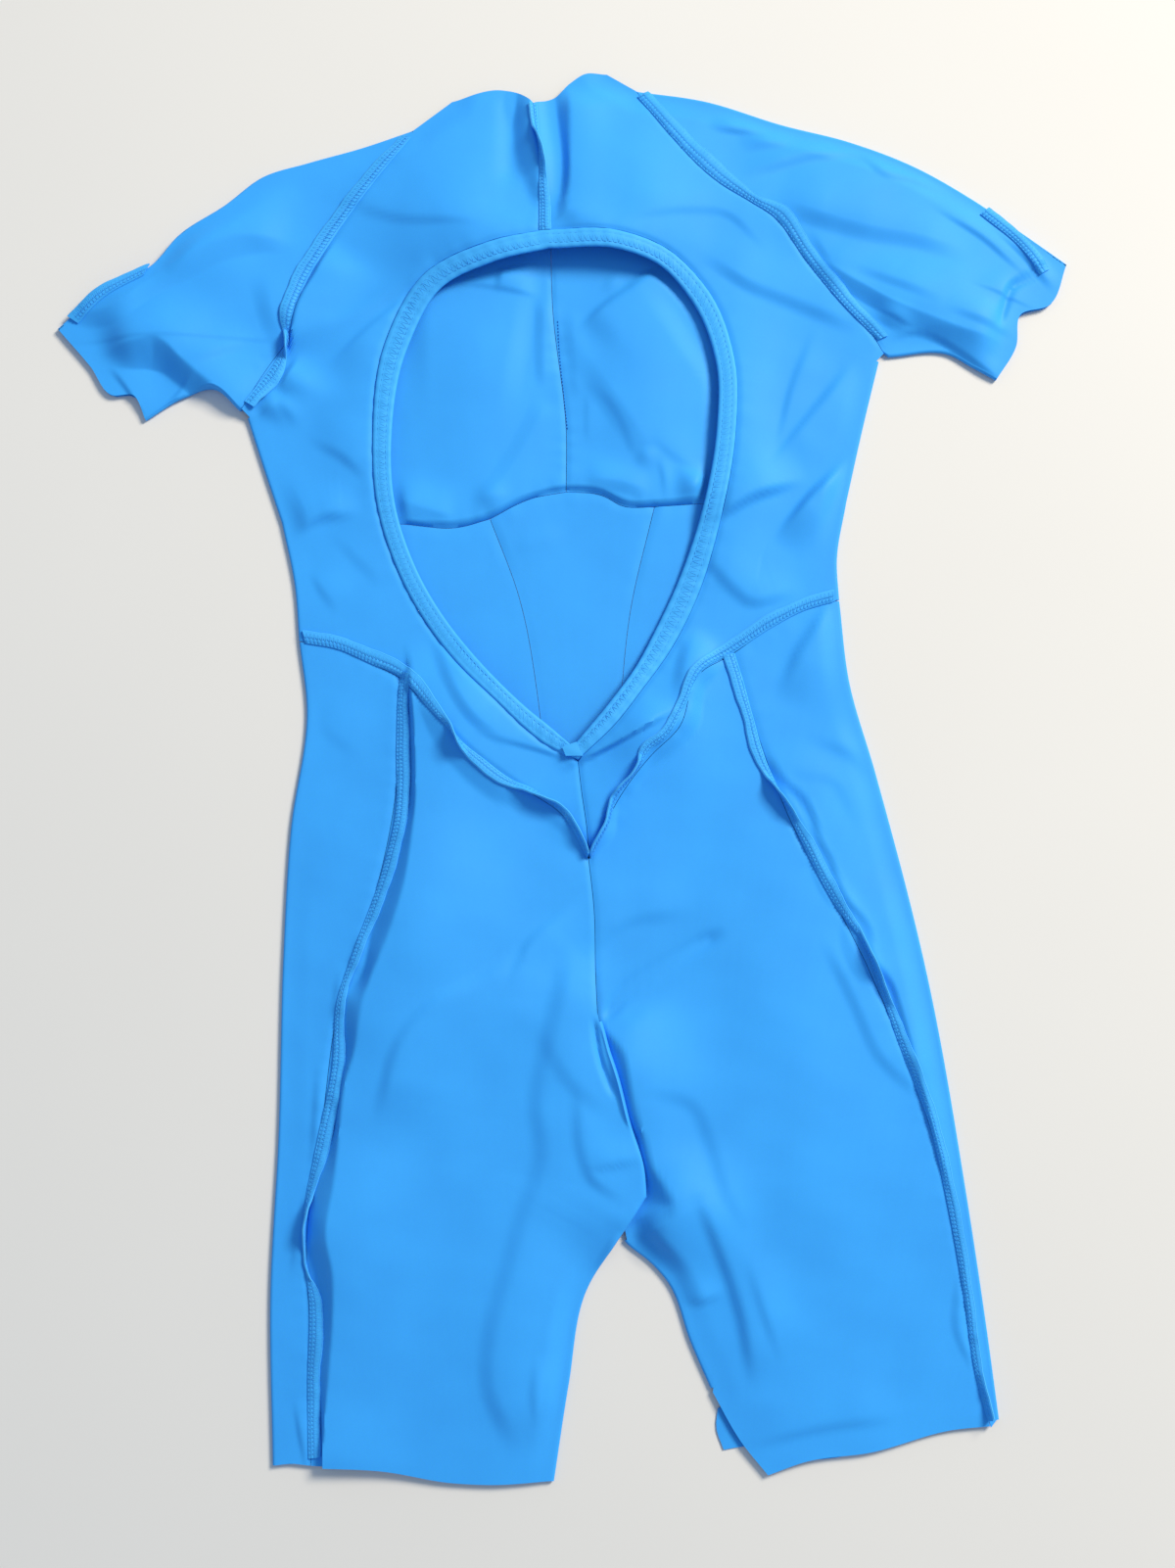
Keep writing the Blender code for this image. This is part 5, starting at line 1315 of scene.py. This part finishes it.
def front_midriff_side(hand):
    """Side panel of the front midriff, from the bust seam to the front waist seam."""
    outer = under_side(hand)[SIDE_STEPS * FINE_LENGTH:]
    inner = inset(line(f"princess_{hand}", len(outer) - 1), outer)
    across = 4 * FINE_LENGTH
    top = line(f"underbust_outer_{hand}", across)
    waist = line(f"front_waist_{hand}", across - 1)
    side_end = (outer[-1, 0], waist[-1, 1] + SEAM_GAP / 2)
    bottom = np.concatenate([above(waist), [side_end]])
    plan = patch(inner, outer, below(top), bottom)
    return flat_panel(f"front_midriff_{hand}", plan, front_surface(plan))


def front_midriff_centre():
    """Centre panel of the front midriff, between the two princess seams."""
    left, right = (line(name, SIDE_STEPS * FINE_MIDRIFF) for name in both("princess"))
    half = 2 * FINE_LENGTH
    top = np.concatenate([line("underbust_inner_left", half)[::-1],
                          line("underbust_inner_right", half)[1:]])
    bottom = np.concatenate([line("front_point_left", half),
                             line("front_point_right", half)[-2::-1]])
    plan = patch(inset(left, right), inset(right, left), below(top),
                 above(bottom))
    return flat_panel("front_midriff_centre", plan, front_surface(plan))


def sleeve_edge(hand, side, raglan_end, cuff_end):
    """Edge line and outward directions of a sleeve's rolled upper or lower edge."""
    edge = line(f"arm_{side}_{hand}", SLEEVE_STEPS * FINE_SLEEVE)
    outwards = outward(edge, edge - UP_Y if side == "upper" else edge + UP_Y)
    outwards[[0, -1]] = (towards(*raglan_end), towards(*cuff_end))
    edge[[0, -1]] = (raglan_end[1], cuff_end[1])
    return edge - outwards * ROLL_INSET, outwards


def sleeve(hand):
    """A flattened sleeve: a tube with one layer on the floor and one on top."""
    raglan = beside(line(f"raglan_{hand}", RAGLAN_STEPS * FINE_SLEEVE), -SEAM_GAP / 2)
    cuff = line(f"cuff_{hand}", RAGLAN_STEPS * FINE_SLEEVE)
    upper, upper_out = sleeve_edge(hand, "upper", raglan[1::-1], cuff[1::-1])
    lower, lower_out = sleeve_edge(hand, "lower", raglan[-2:], cuff[-2:])
    raglan[[0, -1]] = (upper[0], lower[0])
    cuff[[0, -1]] = (upper[-1], lower[-1])
    plan = patch(upper, lower, raglan, cuff)
    top, top_out = lay(plan, back_height(plan))
    below = plan[:, ::-UNDER_COLUMN]
    under, under_out = lay(below, np.full(below.shape[:2], FLOOR_LAYER))
    low_roll, low_out = roll_over(lower, lower_out, top[:, -1, 2], FLOOR_LAYER)
    high_roll, high_out = roll_over(upper, upper_out, top[:, 0, 2], FLOOR_LAYER)
    middle = np.concatenate([top, low_roll[:, :-1], under, high_roll[:, -2::-1]], axis=1)
    out = np.concatenate([top_out, low_out[:, :-1], -under_out, high_out[:, -2::-1]], axis=1)
    return wall(f"sleeve_{hand}_cloth", middle, out, KNIT, round_columns=True)


# ---- Binding and topstitch ----
def binding_rings():
    """The binding's inner and outer edge as rings of plan points."""
    return [np.concatenate([line(f"{name}_right", BINDING_STEPS["right"]),
                            line(f"{name}_left", BINDING_STEPS["left"])[-2:0:-1]])
            for name in ("hole", "bound")]


def keyhole_binding():
    """The folded binding round the open back, with its two rows of stitches."""
    inner, outer = binding_rings()
    centre = (inner + outer) / 2
    passed = passed_along(centre)
    section = np.array(BINDING_SECTION)
    plan = inner[:, None] + (outer - inner)[:, None] * section[None, :, :1]
    base = (BINDING_FOLLOWS * back_height(plan)
            + (1 - BINDING_FOLLOWS) * back_height(centre)[:, None])
    ripple = RIPPLE * np.sin(2 * pi * passed / RIPPLE_LENGTH + sway(passed, *RIPPLE_SWAY))
    points = raised(plan, base + section[None, :, 1] + ripple[:, None]).reshape(-1, 3)
    quads = grid_quads(*plan.shape[:2], round_rows=True, round_columns=True).reshape(-1, 4)
    ring = make_object("keyhole_binding_cloth", points, quads, BINDING)

    def on_top(at, across, lift):
        """Points on the upper face at distances round the ring and shares across it."""
        edge = between(at, passed, inner)
        spot = edge + (between(at, passed, outer) - edge) * across[..., None]
        tops = np.interp(across, *section[:BINDING_TOP].T)
        return raised(spot, np.interp(at, passed, base.mean(axis=1) + ripple) + tops + lift)

    count = int(passed[-1] / STITCH_PITCH)
    at = stitch_run(np.arange(count) * STITCH_PITCH + STITCH_START, STITCH_LENGTH)
    stitches = [on_top(at, np.full(at.shape, row), STITCH_ARCH) for row in STITCH_ROWS]
    rows = tubes("keyhole_binding_stitches", np.concatenate(stitches), BINDING_THREAD, THREAD)
    half = np.arange(2 * count)
    at = stitch_run(half * STITCH_PITCH / 2 + STITCH_START, STITCH_PITCH / 2)
    share = np.linspace(*STITCH_ROWS, at.shape[1])
    across = np.where((half % 2)[:, None] == 0, share, share[::-1])
    cover = tubes("keyhole_binding_cover_thread", on_top(at, across, COVER_LIFT), COVER_THREAD,
                  THREAD)
    return [ring, rows, cover, binding_end()]


def binding_end():
    """The folded end of the binding, lapped over the point of the open back."""
    start, top, side, low = np.array(BINDING_END_CORNERS, dtype=float)
    u = np.linspace(0, 1, BINDING_END_GRID[0])[None, :, None]
    v = np.linspace(0, 1, BINDING_END_GRID[1])[:, None, None]
    plan = (start * (1 - u) + top * u) * (1 - v) + (low * (1 - u) + side * u) * v
    level = back_height(plan).mean() + BINDING_END_LIFT
    height = level + BINDING_END_ARCH * np.sin(pi * u[..., 0]) * np.sin(pi * v[..., 0])
    middle, out = lay(plan, height)
    return wall("keyhole_binding_end", middle, out, BINDING, thickness=BINDING_END_WALL)


def centre_topstitch():
    """The row of stitches beside the upper part of the centre front seam."""
    run = smooth(TOPSTITCH_LINE, TOPSTITCH_STEPS + 1)
    length = step_lengths(run).sum()
    at = stitch_run(np.arange(int(length / TOPSTITCH_PITCH)) * TOPSTITCH_PITCH, TOPSTITCH_LENGTH)
    plan = between(at / length * TOPSTITCH_STEPS, np.arange(TOPSTITCH_STEPS + 1), run)
    lift = np.array(TOPSTITCH_ARCH) + CLOTH / 2
    return tubes("centre_front_topstitch", raised(plan, front_surface(plan) + lift),
                 TOPSTITCH_THREAD, STITCH)


# ---- Allowances ----
def ribbon_lines(rows, seed):
    """An allowance's needle line, its free edge and the distance passed along it."""
    table = np.concatenate(two_lines(rows), axis=1)
    length = step_lengths(table[:, :2]).sum()
    count = max(RIBBON_STEPS_LEAST, int(length / RIBBON_STEP))
    base, free = np.split(smooth(table, count + 1), 2, axis=1)
    passed = np.linspace(0, length, count + 1)
    wave = sum(size * np.sin(2 * pi * passed / period + turns * seed)
               for size, period, turns in EDGE_WAVES)
    return base, free - square_to(base) * wave[:, None], passed


def ribbon_grid(rows, seed):
    """Middle points of an allowance, from its needle line to its free edge, and its length.

    Where its free edge is drawn close to the needle line, the allowance stands up.
    """
    base, free, passed = ribbon_lines(rows, seed)
    apart = np.linalg.norm(free - base, axis=1)
    stand = np.sqrt(np.maximum(ALLOWANCE**2 - apart**2, 0))
    stand *= 1 - LAID * ease((apart / ALLOWANCE - LAID_FROM) / LAID_OVER)
    low = back_height(base) + BASE_LIFT
    rise = EDGE_RISE * np.sin(2 * pi * passed / EDGE_RISE_LENGTH + seed)
    high = np.maximum(back_height(free) + FREE_LIFT, low + stand + rise)
    shares = np.array(RIBBON_SHARES)
    plan = base[:, None] + (free - base)[:, None] * shares[None, :, None]
    arch = RIBBON_ARCH * np.sin(pi * shares)[None] * np.minimum(apart / ALLOWANCE, 1)[:, None]
    height = low[:, None] + (high - low)[:, None] * shares[None] + arch
    ground = back_height(plan) + LEAST_LIFT + ALLOWANCE_WALL / 2
    height[:, 1:] = np.maximum(height[:, 1:], ground[:, 1:])
    return raised(plan, height), passed[-1]


def allowance(name, rows):
    """An overlocked allowance: its ribbon, the loops over its edge, and its needle threads."""
    middle, length = ribbon_grid(rows, sum(map(ord, name)) % SEEDS)
    shares = np.array(RIBBON_SHARES)
    across = np.gradient(middle, axis=1)
    out = unit(np.cross(np.gradient(middle, axis=0), across))
    groove = np.exp(-((shares[:, None] - np.array(NEEDLE_ROWS)) / GROOVE_WIDTH) ** 2).sum(axis=1)
    face = (ALLOWANCE_WALL / 2 - NEEDLE_GROOVE * groove) / (ALLOWANCE_WALL / 2)
    ribbon = wall(f"{name}_cloth", middle, out * face[None, :, None], EDGING,
                  thickness=ALLOWANCE_WALL)

    def on_face(at, share, side, lift):
        """Points on one face of the ribbon, or beyond its free edge where the share is over 1."""
        row = at / length * (len(middle) - 1)
        column = np.interp(share, shares, np.arange(len(shares)))
        beyond = unit(sampled(np.broadcast_to(across[:, -1:], across.shape), row, column))
        off = side * (ALLOWANCE_WALL / 2 + np.asarray(lift))
        return (sampled(middle, row, column) + sampled(out, row, column) * off[..., None]
                + beyond * (np.maximum(share - 1, 0) * ALLOWANCE)[..., None])

    count = int(length / LOOP_PITCH)
    steps = np.arange(LOOP_STEPS * count + 1)
    zigzag = np.abs(steps % LOOP_STEPS - LOOP_STEPS / 2) / (LOOP_STEPS / 2)
    loops = []
    for side, part in ((1.0, zigzag), (-1.0, 1 - zigzag)):
        share = NEEDLE_ROWS[0] + (LOOP_END - NEEDLE_ROWS[0]) * part
        lift = np.where(share > 1, LOOP_LIFTS[1], LOOP_LIFTS[0])
        loops.append(on_face(steps * LOOP_PITCH / LOOP_STEPS, share, side, lift))
    at = (np.arange(count) * LOOP_PITCH)[:, None] + np.linspace(*NEEDLE_STITCH, len(NEEDLE_ARCH))
    needle = [on_face(at, np.full(at.shape, row), side, NEEDLE_ARCH)
              for side in (1.0, -1.0) for row in NEEDLE_ROWS]
    rim = middle[:, -1] + unit(across[:, -1]) * EDGE_THREAD_OUT
    return [ribbon, tubes(f"{name}_loops", np.stack(loops), LOOP_THREAD, THREAD),
            tubes(f"{name}_needle_thread", np.concatenate(needle), NEEDLE_THREAD, THREAD),
            tubes(f"{name}_edge_thread", rim[None], EDGE_THREAD, THREAD)]


# ---- Floor, light and camera ----
def add_floor():
    """A large plain floor, which is not part of the suit."""
    mesh = bpy.data.meshes.new("floor")
    mesh.from_pydata([(x * FLOOR_HALF, y * FLOOR_HALF, 0) for x, y in FLOOR_CORNERS], [],
                     [(0, 1, 2, 3)])
    placed("floor", mesh, floor_finish())


def add_light():
    """A soft square lamp from the upper right, a pale sky, and colours shown as they are."""
    lamp = bpy.data.lights.new("soft_light", "AREA")
    lamp.shape = "SQUARE"
    lamp.size = LAMP_SIZE
    lamp.energy = LAMP_POWER
    lamp.color = LAMP_COLOUR
    light = placed("soft_light", lamp)
    light.location = LAMP_PLACE
    light.rotation_euler = (-light.location).to_track_quat("-Z", "Y").to_euler()
    world = bpy.data.worlds.new("pale_world")
    world.use_nodes = True
    set_inputs(world.node_tree.nodes["Background"], Color=SKY_COLOUR, Strength=SKY_STRENGTH)
    bpy.context.scene.world = world
    bpy.context.scene.view_settings.view_transform = "Standard"


def add_camera():
    """The camera, which looks down at the suit from a little below its middle."""
    lens = bpy.data.cameras.new("camera")
    lens.sensor_width = SENSOR_WIDTH
    lens.lens = FOCAL_LENGTH
    camera = placed("camera", lens)
    camera.location = CAMERA_PLACE
    camera.rotation_euler = (CAMERA_TILT, 0.0, 0.0)
    bpy.context.scene.camera = camera


# ---- The whole suit ----
def take(piece, node):
    """Puts a piece on the frame, in place of its CAD node if it has one."""
    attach(piece, "root")
    if node:
        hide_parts(node)


add_floor()
add_light()
add_camera()
sheets = {}
for hand in HANDS:
    for node, maker in (("back_bodice", back_bodice), ("side_panel", side_panel),
                        ("back_leg", back_leg), ("sleeve", sleeve), ("front_leg", front_leg),
                        ("front_bust", front_bust), ("front_midriff", front_midriff_side)):
        sheets[f"{node}_{hand}"] = maker(hand)
sheets["front_midriff_centre"] = front_midriff_centre()
for node, piece in sheets.items():
    take(piece, node)
with_pieces = {node: [] for node in sheets}
binding = keyhole_binding()
for piece, node, slot in zip(binding, ("keyhole_binding", None, None, None),
                             ("binding", "overlock", "overlock", "binding")):
    take(piece, node)
    with_pieces["back_bodice_right"].append(piece)
topstitch = centre_topstitch()
take(topstitch, None)
with_pieces["front_bust_right"].append(topstitch)
for name, rows in ALLOWANCES.items():
    for k, piece in enumerate(allowance(name, rows)):
        take(piece, name if k == 0 else None)
        with_pieces[ALLOWANCE_SHEETS[name]].append(piece)
